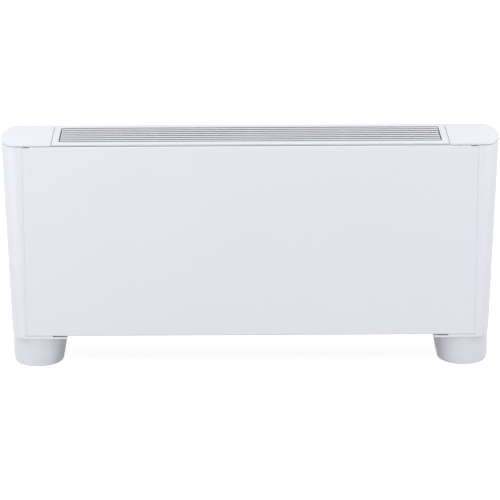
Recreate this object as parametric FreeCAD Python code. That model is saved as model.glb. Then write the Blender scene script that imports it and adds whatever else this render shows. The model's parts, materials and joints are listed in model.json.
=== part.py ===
import FreeCAD, Part
import math
import os

# Floor-ceiling fan-coil unit. Millimetres, +Z up, front face towards -Y.
# Origin on the floor, under the middle of the cabinet.

Vector = FreeCAD.Vector
origin = Vector(0, 0, 0)
x_axis = Vector(1, 0, 0)
y_axis = Vector(0, 1, 0)
z_axis = Vector(0, 0, 1)
half_turn = 180.0
quarter_turn = 90.0
full_turn = 360.0

# Cabinet
cabinet_width = 1240.0      # over the rounded ends, at the top
cabinet_height = 495.0      # casing without its feet
cabinet_depth = 200.0
foot_height = 87.0
end_reach_top = 58.0        # how far a rounded end stands past the flat front
end_reach_bottom = 42.0     # the same at the bottom, because the ends lean out
end_corner_share = 0.62     # corner radius of a rounded end, to its reach at the bottom
steel = 1.2                 # galvanised sheet of the chassis
front_sheet = 1.0           # painted sheet of the front panel
moulding = 2.5              # wall of the plastic mouldings

# Clearances
seat = 0.3                  # between a piece and what carries it
running = 0.05              # radial, between a turning pin and its hole
screw_clearance = 0.1       # radial, between a screw and its hole
overrun = 2.0               # how far every cutter stands past what it cuts

# Lids: the top panel and the two flaps
lid_rim = 5.0               # depth of the edge all round
lid_skin = 2.5
lid_edge = 1.2              # chamfer round the top edges
shadow_gap = 1.5            # between the lids and the casing below
flap_length = 129.0         # from the seam to the end of the cabinet
seam_gap = 1.2

# Flap hinges
pin_radius = 1.2
ear_thickness = 2.0
ear_side_gap = 0.5          # beside each ear, in the notch of the flap
ear_front_gap = 2.0         # in front of each ear, in the notch of the flap
ear_inset = 6.4             # from the seam to the inner ear
ear_spacing = 40.0          # between the two ears of a bracket
bracket_drop = 16.0         # how far the bracket reaches down the back plate
bracket_top_gap = 6.0       # from the hinge axis down to the bracket's plate

# Outlet grille
grille_end_margin = 17.2    # from the seam to the end of the opening
grille_depth = 135.0
grille_corner = 6.0
grille_bars = 6
bar_width = 11.0
bar_root_width = 5.0
bar_recess = 0.6            # below the top face
bar_edge = 1.4
grille_frame_width = 6.0
grille_frame_depth = 8.0
grille_ribs = 3
grille_rib_thickness = 2.5
grille_rib_depth = 5.0

# Front panel and end covers
panel_seam = 0.3
front_return = 11.0
front_bend = 3.0            # outer bend radius along the top and bottom edges
notch_width = 17.0          # finger notch under the front edge of each flap
notch_depth = 5.0
notch_inset = 2.0
tongue_length = 17.0        # end cover's tongue behind the front and back plates
tongue_root = 3.0
cover_rib = 8.0
cover_flange = 12.0
stop_pad_length = 12.0

# Feet
foot_width = 130.0
foot_inset = 1.5            # inside the casing's outline
foot_setback = 8.0
foot_flare = 3.2            # inner wall, towards the back
foot_wall = 3.0
foot_lip = 7.0              # flange under the casing
foot_lip_reach = 12.5       # past the foot's inner wall
foot_lip_inset = 0.5
foot_step = 35.5            # length of the lowered inner part of the flange
foot_step_drop = 3.0
foot_boss_radius = 4.4
foot_screw_share = 0.67     # along the lowered part of the flange
foot_screw_inset = 20.0     # from the front face
foot_bracket_steel = 2.0
foot_bracket_width = 65.0
foot_bracket_depth = 60.0
foot_sole = 14.0            # toes of the steel bracket on the floor
foot_bracket_front = 62.0   # in front of the cabinet's middle plane
foot_rubber = 2.0           # pad under each toe

# Chassis
side_inset = 13.8           # outer face of a side plate, inside the seam
intake_margin = 20.0        # from the side plate to the intake opening
intake_depth = 160.0
intake_collar = 12.0
pipe_hole_length = 70.0     # opening over each foot
pipe_hole_depth = 80.0
pipe_hole_inset = 8.0       # from the side plate
window_length = 42.0        # in the back plate, for pipes or a supply lead
window_height = 110.0
window_rise = 80.0
window_inset = 7.4          # past the flange of the side plate
wall_hole_radius = 4.5
wall_hole_outset = 27.8     # from the side plate's outer face
wall_hole_drop = 62.0       # upper pair, below the top
wall_hole_spacing = 370.0
foam = 6.0

# Fans
deck_height = 312.0         # underside of the fan deck, from the floor
deck_flange = 15.0
fan_motor_gap = 55.0        # from the motor's boss to a fan's housing
fan_end_gap = 145.7         # from a fan's housing to the end of the duct
fan_axis_y = -10.0
fan_axis_height = 205.0
wheel_radius = 60.0
blade_count = 20
blade_depth = 12.0
blade_thickness = 1.0
blade_sweep = 16.0          # degrees from the root to the tip
wheel_ring_width = 4.0
wheel_disc = 2.0
hub_flats = 28.0
hub_length = 22.0
scroll_wall = 1.5
scroll_start_angle = 65.0
scroll_start_gap = 7.0      # from the wheel to the scroll at the cut-off
scroll_step = 10.0          # how much wider each quarter of the scroll is
scroll_side_gap = 10.0      # from the wheel to the housing's side walls
inlet_radius = 46.0
inlet_collar = 5.0
inlet_sides = 16
scroll_flange = 8.0
shaft_radius = 6.0
shaft_end = 12.0            # past each hub

# Motor
motor_radius = 42.0
motor_length = 64.0
motor_sides = 16
boss_flats = 30.0
boss_length = 13.0
ring_flats = 40.0
ring_width = 6.0
hanger_gap = 3.0            # from the motor's can to its hanger
hanger_steel = 2.0
hanger_width = 56.0
hanger_flange = 16.0

# Water coil
coil_tilt = 30.0            # degrees, top edge towards the back
coil_thickness = 44.0
coil_drip_gap = 7.0         # from the drain pan's rim up to the coil
coil_top_gap = 21.5         # from the coil up to the grille
coil_end_gap = 41.0         # from the fins to the side plate
fin_pitch = 22.0
fin_gap = 11.0
fin_depth = 9.0
channel_margin = 3.0        # end plates round the fins
coil_tubes = 5
tube_radius = 4.8
tube_row_gap = 22.0
header_radius = 8.0
header_sides = 12
tube_sides = 8
bend_straight = 3.0
header_gap = 18.0           # from the end plate to the header's middle
header_overhang = 12.0
socket_flats = 30.0         # across the hexagon
socket_length = 20.0
socket_bore = 12.2
socket_depth = 16.0
socket_standoff = 24.0      # from the side plate to the socket
pipe_hole_gap = 2.0
vent_radius = 4.0
vent_height = 18.0
vent_cap_flats = 11.0
vent_cap_height = 6.0

# Condensate pans
pan_width = 72.0
pan_depth = 26.0
pan_wall = 1.5
spout_radius = 7.0
spout_bore = 5.5
spout_reach = 14.0          # past the side plate
spout_inset = 36.0          # from the pan's front edge
tray_length = 78.0
tray_front = 80.0           # in front of the middle plane
tray_width = 145.0
tray_depth = 22.0
tray_wall = 2.0
tray_rim_drop = 2.0         # below the spout
drain_radius = 10.0
drain_bore = 8.0
drain_length = 28.0
drain_y = 30.0
drain_outset = 42.0

# Air filter
filter_gap = 0.5
filter_thickness = 12.0
filter_bar = 12.0
filter_cross_bars = 5
filter_cross_width = 6.0
mesh_thickness = 1.5
mesh_ledge = 5.0
clip_count = 4
clip_width = 18.0
clip_steel = 0.8
clip_groove = 2.0
clip_drop = 9.0

# Electrics
box_length = 52.0
box_front = 60.0            # in front of the middle plane
box_width = 110.0
box_bottom = 160.0
box_height = 170.0
terminal_length = 90.0
terminal_depth = 20.0
terminal_height = 24.0
terminal_ways = 6
terminal_groove = 3.0
terminal_rise = 30.0
capacitor_length = 26.0
capacitor_width = 46.0
capacitor_height = 34.0
capacitor_rise = 80.0
gland_flats = 20.0
gland_bore = 4.5
gland_length = 14.0
gland_thread = 8.0
gland_outset = 26.0
gland_y = 30.0              # over the pipe hole in the base

# Control panel
panel_plate_drop = 37.0     # below the top
panel_length = 110.0
panel_width = 140.0
panel_skirt = 20.0
knob_outset = 58.0
knob_spacing = 70.0
knob_radius = 16.0
knob_height = 13.0
knob_sides = 12
knob_pointer = 2.0
stem_radius = 3.0
stem_length = 14.0
switch_size = 34.0
switch_height = 22.0
switch_socket = 12.0

# Screws
screw_radius = 2.4
screw_head = 4.2
screw_head_height = 2.4

# Places that follow from the sizes above
half_width = cabinet_width / 2
half_depth = cabinet_depth / 2
casing_bottom = foot_height
casing_top_face = casing_bottom + cabinet_height
flat_half = half_width - end_reach_top
end_lean = end_reach_top - end_reach_bottom
end_corner = end_reach_bottom * end_corner_share
end_corner_y = half_depth - end_corner
# The nose arc is the one that touches both corner arcs
end_nose = ((end_reach_bottom ** 2 + end_corner_y ** 2 - end_corner ** 2)
            / (end_reach_bottom - end_corner) / 2)
lid_bottom = casing_top_face - lid_rim
casing_top = lid_bottom - shadow_gap
seam_x = half_width - flap_length
lid_end = seam_x - seam_gap / 2
flap_start = seam_x + seam_gap / 2
hinge_radius = lid_rim / 2
hinge_y = half_depth - hinge_radius
hinge_z = casing_top_face - hinge_radius
grille_half = seam_x - grille_end_margin
front_inner = -half_depth + front_sheet + seat
back_inner = half_depth - steel - seat
base_bottom = casing_bottom + steel + seat
base_top = base_bottom + steel
base_half = flat_half - tongue_length - seat
side_outer = seam_x - side_inset
side_inner = side_outer - steel
duct_half = side_inner - seat
compartment_x = side_outer + seat
grille_frame_top = casing_top_face - lid_skin - seat
grille_frame_bottom = grille_frame_top - grille_frame_depth
side_top = grille_frame_bottom - seat
side_bottom = base_top + seat
intake_half = side_inner - intake_margin
deck_top = deck_height + steel
duct_floor = deck_top + seat
foam_front = front_inner + steel + seat
coil_slope = math.radians(coil_tilt)
coil_room_bottom = duct_floor + pan_depth + coil_drip_gap
coil_room_top = grille_frame_bottom - coil_top_gap
coil_centre_height = (coil_room_bottom + coil_room_top) / 2
coil_rise = coil_room_top - coil_room_bottom - (coil_thickness + channel_margin * 2) * math.sin(coil_slope)
coil_height = coil_rise / math.cos(coil_slope) - channel_margin * 2
coil_half = side_inner - coil_end_gap
coil_back = coil_half + steel
fan_inner = motor_length / 2 + boss_length + fan_motor_gap
fan_outer = duct_half - fan_end_gap
fan_spread = (fan_inner + fan_outer) / 2
wheel_width = fan_outer - fan_inner - scroll_side_gap * 2
foot_outer = flat_half + end_reach_bottom - foot_inset
foot_inner = foot_outer - foot_width
foot_middle = (foot_outer + foot_inner) / 2
nose_y = -half_depth + foot_setback + foot_width / 2
lip_start = foot_inner - foot_lip_reach
foot_screw_x = lip_start + foot_step * foot_screw_share
foot_screw_y = -half_depth + foot_screw_inset


def block(x0, x1, y0, y1, z0, z1):
    return Part.makeBox(x1 - x0, y1 - y0, z1 - z0, Vector(x0, y0, z0))


def rod_x(radius, x0, x1, y, z):
    return Part.makeCylinder(radius, x1 - x0, Vector(x0, y, z), x_axis)


def rod_y(radius, y0, y1, x, z):
    return Part.makeCylinder(radius, y1 - y0, Vector(x, y0, z), y_axis)


def rod_z(radius, z0, z1, x, y):
    return Part.makeCylinder(radius, z1 - z0, Vector(x, y, z0), z_axis)


def fuse(shapes):
    joined = shapes[0].multiFuse(shapes[1:]) if len(shapes) > 1 else shapes[0]
    return joined.removeSplitter()


def mirrored(shape):
    return shape.mirror(origin, x_axis)


def outline_face(points):
    return Part.Face(Part.makePolygon(points + points[:1]))


def prism_x(sides, flats, x0, x1, y, z):
    return regular_face(sides, flats, x0, y, z).extrude(Vector(x1 - x0, 0, 0))


def regular_face(sides, flats, x, y, z):
    # Upright regular polygon that faces +X, with its flats that far apart
    radius = flats / 2 / math.cos(math.pi / sides)
    corners = []
    for side in range(sides):
        angle = math.pi * (side * 2 + 1) / sides
        corners.append(Vector(x, y + radius * math.cos(angle), z + radius * math.sin(angle)))
    return outline_face(corners)


def upright(prism, x, y, z):
    # Turns a prism that runs along +X from the origin to stand on the place given
    prism.rotate(origin, y_axis, -quarter_turn)
    prism.translate(Vector(x, y, z))
    return prism


def screw(shank, head_face):
    # Head face at the origin of the screw, shank up along +Z from it
    head = upright(prism_x(6, screw_head * 2, 0, screw_head_height, 0, 0), 0, 0, -screw_head_height)
    body = head.fuse(Part.makeCylinder(screw_radius, shank, origin, z_axis)).removeSplitter()
    body.translate(head_face)
    return body


# Rounded, tapered ends of the casing

def reach_at(z):
    share = (z - casing_bottom) / cabinet_height
    return end_reach_bottom + (end_reach_top - end_reach_bottom) * share


cover_start = flat_half + panel_seam / 2


def end_face(inner_x, inset, shift, z):
    # Flat runs front and back, with a corner arc, a wide nose arc and a corner arc between them
    start = flat_half + shift
    half = half_depth - inset
    nose_x = start + end_reach_bottom - end_nose
    turn = math.atan2(end_corner_y, start - nose_x)
    outline = []
    for side in (1, -1):
        run_end = Vector(start, side * half, z)
        corner = []
        for angle in ((math.pi / 2 + turn) / 2, turn):
            corner.append(Vector(start + (end_corner - inset) * math.cos(angle),
                                 side * (end_corner_y + (end_corner - inset) * math.sin(angle)), z))
        outline.append([Vector(inner_x, side * half, z), run_end] + corner)
    back, front = outline
    tip = Vector(nose_x + end_nose - inset, 0, z)
    edges = [Part.makeLine(back[0], back[1]), Part.Arc(back[1], back[2], back[3]).toShape(),
             Part.Arc(back[3], tip, front[3]).toShape(), Part.Arc(front[3], front[2], front[1]).toShape(),
             Part.makeLine(front[1], front[0]), Part.makeLine(front[0], back[0])]
    return Part.Face(Part.Wire(edges))


def end_block(inner_x, inset, z0, z1):
    # The round leans outwards towards the top, so it is drawn square to its lean
    lean = math.atan2(end_lean, cabinet_height)
    along = Vector(math.sin(lean), 0, math.cos(lean))
    reach = half_width - inner_x
    face = end_face(inner_x - reach, inset, 0, casing_bottom)
    face.rotate(Vector(flat_half + end_reach_bottom, 0, casing_bottom), y_axis, math.degrees(lean))
    face.translate(along * (z0 - casing_bottom - reach))
    prism = face.extrude(along * (z1 - z0 + reach * 2))
    return prism.common(block(inner_x, half_width + overrun, -half_depth - overrun,
                              half_depth + overrun, z0, z1))


def end_prism(inner_x, inset, shift, z0, z1):
    return end_face(inner_x, inset, shift, z0).extrude(Vector(0, 0, z1 - z0))


def end_ring(inset, depth, z0, z1):
    # Flat ring that follows the inside of the rounded end
    outer = end_block(cover_start, inset, z0, z1)
    return outer.cut(end_block(cover_start - overrun, inset + depth, z0 - overrun, z1 + overrun))


def end_cover():
    shell = end_block(cover_start, 0, casing_bottom, casing_top)
    shell = shell.cut(end_block(cover_start - overrun, moulding, casing_bottom - overrun,
                                casing_top + overrun))
    tongue_top = casing_top - steel - seat - notch_depth
    pieces = [shell]
    for y0 in (front_inner, back_inner - moulding):
        pieces.append(block(flat_half - tongue_length, flat_half + tongue_root, y0, y0 + moulding,
                            casing_bottom + front_bend, tongue_top))
    middle = casing_bottom + cabinet_height / 2
    pieces.append(end_ring(moulding / 2, cover_rib, middle, middle + moulding))
    pieces.append(end_ring(moulding / 2, cover_flange, casing_bottom, casing_bottom + moulding))
    # A pad at the tip of the end carries the closed flap
    pad_x = flat_half + reach_at(casing_top) - seat
    pieces.append(block(pad_x - moulding, pad_x, -stop_pad_length / 2, stop_pad_length / 2,
                        casing_top - moulding, lid_bottom - seat))
    return fuse(pieces)


# Front panel

def front_panel():
    edge = flat_half - panel_seam / 2
    bend_top = casing_top - front_bend
    bend_bottom = casing_bottom + front_bend
    sheet = block(-edge, edge, -half_depth, -half_depth + front_sheet, bend_bottom, bend_top)
    return_half = flat_half - tongue_length - seat
    pieces = [sheet]
    for level, lift, start in ((bend_top, casing_top - front_sheet, quarter_turn),
                               (bend_bottom, casing_bottom, half_turn)):
        outer = rod_x(front_bend, -edge, edge, -half_depth + front_bend, level)
        outer = outer.cut(rod_x(front_bend - front_sheet, -edge - overrun, edge + overrun,
                                -half_depth + front_bend, level))
        quarter_z = level if start == quarter_turn else level - front_bend
        pieces.append(outer.common(block(-edge, edge, -half_depth, -half_depth + front_bend,
                                         quarter_z, quarter_z + front_bend)))
        pieces.append(block(-return_half, return_half, -half_depth + front_bend,
                            -half_depth + front_return, lift, lift + front_sheet))
    panel = fuse(pieces)
    for side in (-1, 1):
        centre = side * (flat_half - notch_inset - notch_width / 2)
        panel = panel.cut(block(centre - notch_width / 2, centre + notch_width / 2, -half_depth - overrun,
                                -half_depth + front_bend + overrun, casing_top - notch_depth,
                                casing_top + overrun))
    return panel


# Lids

def soften_top(shape, size):
    edges = []
    for edge in shape.Edges:
        if all(abs(point.Point.z - casing_top_face) < size / 10 for point in edge.Vertexes):
            edges.append(edge)
    return shape.makeChamfer(size, edges)


def top_panel():
    lid = block(-lid_end, lid_end, -half_depth, half_depth, lid_bottom, casing_top_face)
    lid = soften_top(lid, lid_edge)
    pocket = block(-lid_end + moulding, lid_end - moulding, -half_depth + moulding,
                   half_depth - moulding, lid_bottom - overrun, casing_top_face - lid_skin)
    opening = grille_opening(0, grille_corner, lid_bottom - overrun, casing_top_face + overrun)
    pieces = [lid.cut(pocket)]
    for side in (-1, 1):
        outer = side * lid_end
        inner = side * (lid_end - moulding)
        pieces.append(block(min(outer, inner), max(outer, inner), -half_depth + front_return + seat,
                            back_inner - steel - seat, side_top + seat, casing_top_face - lid_skin))
    return fuse(pieces).cut(opening)


def grille_opening(grow, radius, z0, z1):
    half_x = grille_half + grow
    half_y = grille_depth / 2 + grow
    opening = block(-half_x, half_x, -half_y, half_y, z0, z1)
    upright = [edge for edge in opening.Edges
               if abs(edge.Vertexes[0].Point.z - edge.Vertexes[1].Point.z) > radius / 10]
    return opening.makeFillet(radius, upright)


def grille_bar(y):
    # Wide at the top with chamfered edges, narrowing downwards
    top = casing_top_face - bar_recess
    bottom = grille_frame_bottom
    waist = top - (top - bottom) / 3
    end = grille_half + grille_frame_width / 2
    profile = [(bar_width / 2 - bar_edge, top), (bar_width / 2, top - bar_edge), (bar_width / 2, waist),
               (bar_root_width / 2, bottom)]
    points = [Vector(-end, y + reach, z) for reach, z in profile]
    points += [Vector(-end, y - reach, z) for reach, z in reversed(profile)]
    bar = outline_face(points).extrude(Vector(end * 2, 0, 0))
    # Within the opening only, so that the ends stop under the lip of the top panel
    limit = grille_half - seat
    upper = block(limit, end + overrun, y - bar_width, y + bar_width, grille_frame_top, top + overrun)
    return bar.cut(upper).cut(mirrored(upper))


def outlet_grille():
    frame = grille_opening(grille_frame_width, grille_corner + grille_frame_width, grille_frame_bottom,
                           grille_frame_top)
    frame = frame.cut(grille_opening(0, grille_corner, grille_frame_bottom - overrun,
                                     grille_frame_top + overrun))
    pieces = [frame]
    slot = (grille_depth - grille_bars * bar_width) / (grille_bars + 1)
    pitch = slot + bar_width
    for number in range(grille_bars):
        pieces.append(grille_bar(-grille_depth / 2 + slot + bar_width / 2 + number * pitch))
    for number in range(grille_ribs):
        x = -grille_half + grille_half * 2 * (number + 1) / (grille_ribs + 1)
        pieces.append(block(x - grille_rib_thickness / 2, x + grille_rib_thickness / 2,
                            -grille_depth / 2 - grille_frame_width / 2,
                            grille_depth / 2 + grille_frame_width / 2, grille_frame_bottom,
                            grille_frame_bottom + grille_rib_depth))
    return fuse(pieces)


def ear_places():
    first = flap_start + ear_inset
    return [first, first + ear_spacing]


def flap():
    lid = end_prism(flap_start, 0, end_lean, lid_bottom, casing_top_face)
    lid = soften_top(lid, lid_edge)
    pocket = end_prism(flap_start + moulding, moulding, end_lean, lid_bottom - overrun,
                       casing_top_face - lid_skin)
    rear_rim = block(flap_start, half_width, hinge_y - moulding, half_depth, lid_bottom - overrun,
                     casing_top_face)
    lid = lid.cut(pocket.cut(rear_rim))
    # The rear edge is a half round about the hinge axis, with a notch for each ear
    barrel_end = flat_half + end_lean
    behind = block(flap_start - overrun, half_width, hinge_y, half_depth + overrun, lid_bottom - overrun,
                   casing_top_face + overrun)
    barrel = rod_x(hinge_radius, flap_start, barrel_end, hinge_y, hinge_z).common(behind)
    lid = lid.cut(behind)
    for x in ear_places():
        notch = block(x - ear_side_gap, x + ear_thickness + ear_side_gap,
                      hinge_y - hinge_radius - ear_front_gap, half_depth + overrun,
                      lid_bottom - overrun, casing_top_face + overrun)
        lid = lid.cut(notch)
        barrel = barrel.cut(notch)
    lid = fuse([lid] + barrel.Solids)
    return lid.cut(rod_x(pin_radius + running, flap_start - overrun, flat_half, hinge_y, hinge_z))


def flap_pin():
    return rod_x(pin_radius, flap_start + seat, flat_half - seat, hinge_y, hinge_z)


def hinge_brackets():
    # A plate behind the flap with two ears that the pin goes through
    first, last = ear_places()
    reach = hinge_radius - running * 2
    plate_top = hinge_z - bracket_top_gap
    plate_bottom = plate_top - bracket_drop
    pieces = [block(first, last + ear_thickness, back_inner - steel, back_inner, plate_bottom, plate_top)]
    for x in (first, last):
        pieces.append(block(x, x + ear_thickness, hinge_y - reach, back_inner, plate_bottom, hinge_z))
        pieces.append(block(x, x + ear_thickness, hinge_y - reach, hinge_y + reach, hinge_z - reach,
                            hinge_z + reach))
    bracket = fuse(pieces).cut(rod_x(pin_radius + running, first - overrun,
                                     last + ear_thickness + overrun, hinge_y, hinge_z))
    return Part.makeCompound([bracket, mirrored(bracket)])


# Feet

def foot_prism(inset, back_y, z0, z1):
    # Round nose in front, straight walls behind, the inner wall flaring out a little
    half = foot_width / 2 - inset
    inner = Vector(foot_middle - half, nose_y, z0)
    outer = Vector(foot_middle + half, nose_y, z0)
    tip = Vector(foot_middle, nose_y - half, z0)
    inner_back = Vector(foot_middle - half - foot_flare, back_y, z0)
    outer_back = Vector(foot_middle + half, back_y, z0)
    wire = Part.Wire([Part.Arc(inner, tip, outer).toShape(), Part.makeLine(outer, outer_back),
                      Part.makeLine(outer_back, inner_back), Part.makeLine(inner_back, inner)])
    return Part.Face(wire).extrude(Vector(0, 0, z1 - z0))


def foot():
    back_y = half_depth - foot_setback
    lip_bottom = casing_bottom - foot_lip
    wall = foot_prism(0, back_y, 0, casing_bottom)
    wall = wall.common(end_prism(lip_start, foot_inset, 0, 0, casing_bottom))
    lip = end_prism(lip_start, foot_lip_inset, 0, lip_bottom, casing_bottom)
    hollow = foot_prism(foot_wall, half_depth + overrun, -overrun, casing_bottom + overrun)
    hollow = hollow.common(end_prism(lip_start - overrun, foot_inset + foot_wall, 0, -overrun,
                                     casing_bottom + overrun * 2))
    body = fuse([wall, lip]).cut(hollow)
    step = block(lip_start - overrun, lip_start + foot_step, -half_depth, half_depth,
                 casing_bottom - foot_step_drop, casing_bottom + overrun)
    body = body.cut(step)
    boss = rod_z(foot_boss_radius, lip_bottom, casing_bottom, foot_screw_x, foot_screw_y)
    return fuse([body, boss]).cut(rod_z(screw_radius + screw_clearance, lip_bottom - overrun,
                                        casing_bottom + overrun, foot_screw_x, foot_screw_y))


def foot_screws():
    # The screw that shows in the gap beside each foot
    body = screw(base_top - casing_bottom + foot_lip,
                 Vector(foot_screw_x, foot_screw_y, casing_bottom - foot_lip))
    return Part.makeCompound([body, mirrored(body)])


def foot_bracket():
    x0 = foot_middle - foot_bracket_width / 2
    x1 = foot_middle + foot_bracket_width / 2
    front = -foot_bracket_front
    back = front + foot_bracket_depth
    top = base_bottom - seat
    sheet = foot_bracket_steel
    return fuse([block(x0, x1, front, back, top - sheet, top),
                 block(x0, x1, front, front + sheet, foot_rubber, top),
                 block(x0, x1, back - sheet, back, foot_rubber, top),
                 block(x0, x1, front, front + foot_sole, foot_rubber, foot_rubber + sheet),
                 block(x0, x1, back - foot_sole, back, foot_rubber, foot_rubber + sheet)])


def foot_pads():
    x0 = foot_middle - foot_bracket_width / 2
    x1 = foot_middle + foot_bracket_width / 2
    front = -foot_bracket_front
    back = front + foot_bracket_depth
    pads = [block(x0, x1, front, front + foot_sole, 0, foot_rubber),
            block(x0, x1, back - foot_sole, back, 0, foot_rubber)]
    return Part.makeCompound(pads + [mirrored(pad) for pad in pads])


# Chassis

def base_frame():
    plate = block(-base_half, base_half, -half_depth + front_bend + seat, back_inner, base_bottom,
                  base_top)
    half_y = intake_depth / 2
    collar = block(-intake_half - steel, intake_half + steel, -half_y - steel, half_y + steel,
                   base_bottom, base_top + intake_collar)
    frame = fuse([plate, collar])
    frame = frame.cut(block(-intake_half, intake_half, -half_y, half_y, base_bottom - overrun,
                            base_top + intake_collar + overrun))
    for hole in (pipe_hole(), mirrored(pipe_hole())):
        frame = frame.cut(hole)
    hole = rod_z(screw_radius + screw_clearance, base_bottom - overrun, base_top + overrun, foot_screw_x,
                 foot_screw_y)
    return frame.cut(hole).cut(mirrored(hole))


def pipe_hole():
    x0 = side_outer + pipe_hole_inset
    y1 = half_depth - foot_setback
    return block(x0, min(x0 + pipe_hole_length, base_half - pipe_hole_inset), y1 - pipe_hole_depth, y1,
                 base_bottom - overrun, base_top + overrun)


def back_plate():
    edge = flat_half - panel_seam / 2
    plate = block(-edge, edge, half_depth - steel, half_depth, casing_bottom, casing_top)
    rim = half_depth - front_return
    lower = block(-base_half, base_half, rim, half_depth, casing_bottom, casing_bottom + steel)
    plate = fuse([plate, lower])
    x0 = lid_end + window_inset
    bottom = base_top + window_rise
    window = block(x0, x0 + window_length, rim, half_depth + overrun, bottom, bottom + window_height)
    plate = plate.cut(window).cut(mirrored(window))
    for z in wall_hole_levels():
        hole = rod_y(wall_hole_radius, rim, half_depth + overrun, side_outer + wall_hole_outset, z)
        plate = plate.cut(hole).cut(mirrored(hole))
    return plate


def wall_hole_levels():
    upper = casing_top_face - wall_hole_drop
    return [upper - wall_hole_spacing, upper]


def side_plate():
    # Shallow pan, open to the outside: the web with a flange along each edge
    outer = block(side_inner, lid_end, front_inner, back_inner, side_bottom, side_top)
    hollow = block(side_outer, lid_end + overrun, front_inner + steel, back_inner - steel,
                   side_bottom + steel, side_top - steel)
    plate = outer.cut(hollow)
    hole = pipe_hole()
    hole.translate(Vector(0, 0, steel + seat * 2))
    return plate.cut(hole)


def side_plate_left():
    plate = mirrored(side_plate())
    for row in (-1, 1):
        pipe = header_pipe(row, header_radius + pipe_hole_gap)
        plate = plate.cut(pipe)
    return plate.cut(pan_spout_rod(spout_radius + pipe_hole_gap))


def plenum_front_plate():
    return block(-duct_half, duct_half, front_inner, front_inner + steel, duct_floor, side_top)


def plenum_insulation():
    front = block(-duct_half, duct_half, foam_front, foam_front + foam, duct_floor, side_top)
    back = block(-duct_half, duct_half, back_inner - foam, back_inner, duct_floor, side_top)
    return Part.makeCompound([front, back])


# Fans

scroll_start_radius = wheel_radius + scroll_start_gap
tongue_y = fan_axis_y + scroll_start_radius * math.cos(math.radians(scroll_start_angle))
outlet_y = fan_axis_y + scroll_start_radius + scroll_step * 3


def scroll_prism(grow, x0, x1, top):
    # Three arcs, each a step wider than the last, from the cut-off round to the back, then straight up
    front = tongue_y - grow
    start = math.degrees(math.acos((front - fan_axis_y) / (scroll_start_radius + grow)))
    turns = [start, half_turn, half_turn + quarter_turn, full_turn]
    centres = [(0, 0), (scroll_step, 0), (scroll_step, scroll_step)]
    edges = []
    for number, (centre_y, centre_z) in enumerate(centres):
        radius = scroll_start_radius + grow + scroll_step * number
        first = turns[number]
        last = turns[number + 1]
        points = []
        for angle in (first, (first + last) / 2, last):
            points.append(Vector(x0, fan_axis_y + centre_y + radius * math.cos(math.radians(angle)),
                                 fan_axis_height + centre_z + radius * math.sin(math.radians(angle))))
        edges.append(Part.Arc(*points).toShape())
        if number == 0:
            cut_off = points[0]
    corner_back = Vector(x0, points[2].y, top)
    corner_front = Vector(x0, front, top)
    edges += [Part.makeLine(points[2], corner_back), Part.makeLine(corner_back, corner_front),
              Part.makeLine(corner_front, cut_off)]
    return Part.Face(Part.Wire(edges)).extrude(Vector(x1 - x0, 0, 0))


def fan_housing():
    # Scroll with an open top, an outlet flange and a short many-sided collar round each inlet
    inner_half = wheel_width / 2 + scroll_side_gap
    x0 = fan_spread - inner_half
    x1 = fan_spread + inner_half
    top = deck_height - seat
    collar_reach = scroll_wall + inlet_collar
    body = scroll_prism(scroll_wall, x0 - scroll_wall, x1 + scroll_wall, top)
    flange = block(x0 - scroll_flange, x1 + scroll_flange, tongue_y - scroll_flange,
                   outlet_y + scroll_flange, top - scroll_wall, top)
    collars = prism_x(inlet_sides, (inlet_radius + scroll_wall) * 2, x0 - collar_reach, x1 + collar_reach,
                      fan_axis_y, fan_axis_height)
    body = fuse([body, flange, collars]).cut(scroll_prism(0, x0, x1, top + overrun))
    return body.cut(prism_x(inlet_sides, inlet_radius * 2, x0 - collar_reach - overrun,
                            x1 + collar_reach + overrun, fan_axis_y, fan_axis_height))


def blade(x0, length):
    # Thin plate that sweeps forward from the root to the tip
    root = wheel_radius - blade_depth
    corners = []
    for radius, angle in ((root, 0), (wheel_radius, blade_sweep)):
        for shift in (0, blade_thickness):
            turned = math.radians(angle) + shift / radius
            corners.append(Vector(x0, fan_axis_y + radius * math.cos(turned),
                                  fan_axis_height + radius * math.sin(turned)))
    lower_root, upper_root, lower_tip, upper_tip = corners
    face = outline_face([lower_root, lower_tip, upper_tip, upper_root])
    return face.extrude(Vector(length, 0, 0))


def hoop(inner_flats, x0, x1):
    ring = prism_x(blade_count, wheel_radius * 2, x0, x1, fan_axis_y, fan_axis_height)
    return ring.cut(prism_x(blade_count, inner_flats, x0 - overrun, x1 + overrun, fan_axis_y,
                            fan_axis_height))


def fan_wheel():
    # Two crowns of forward-swept blades on one middle disc, with a hoop at each end
    x0 = fan_spread - wheel_width / 2
    x1 = fan_spread + wheel_width / 2
    root_flats = (wheel_radius - blade_depth) * 2
    disc = prism_x(blade_count, wheel_radius * 2, fan_spread - wheel_disc / 2,
                   fan_spread + wheel_disc / 2, fan_axis_y, fan_axis_height)
    hub = ring_block(hub_flats, fan_spread - hub_length / 2, fan_spread + hub_length / 2)
    pieces = [hoop(root_flats, x0, x0 + wheel_ring_width), hoop(root_flats, x1 - wheel_ring_width, x1),
              disc, hub]
    centre = Vector(0, fan_axis_y, fan_axis_height)
    one_blade = blade(x0 + wheel_ring_width / 2, wheel_width - wheel_ring_width)
    for number in range(blade_count):
        copy = one_blade.copy()
        copy.rotate(centre, x_axis, full_turn * number / blade_count)
        pieces.append(copy)
    return fuse(pieces).cut(rod_x(shaft_radius, x0, x1, fan_axis_y, fan_axis_height))


def motor_shaft():
    reach = fan_spread + hub_length / 2 + shaft_end
    return rod_x(shaft_radius - running / 2, -reach, reach, fan_axis_y, fan_axis_height)


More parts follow.
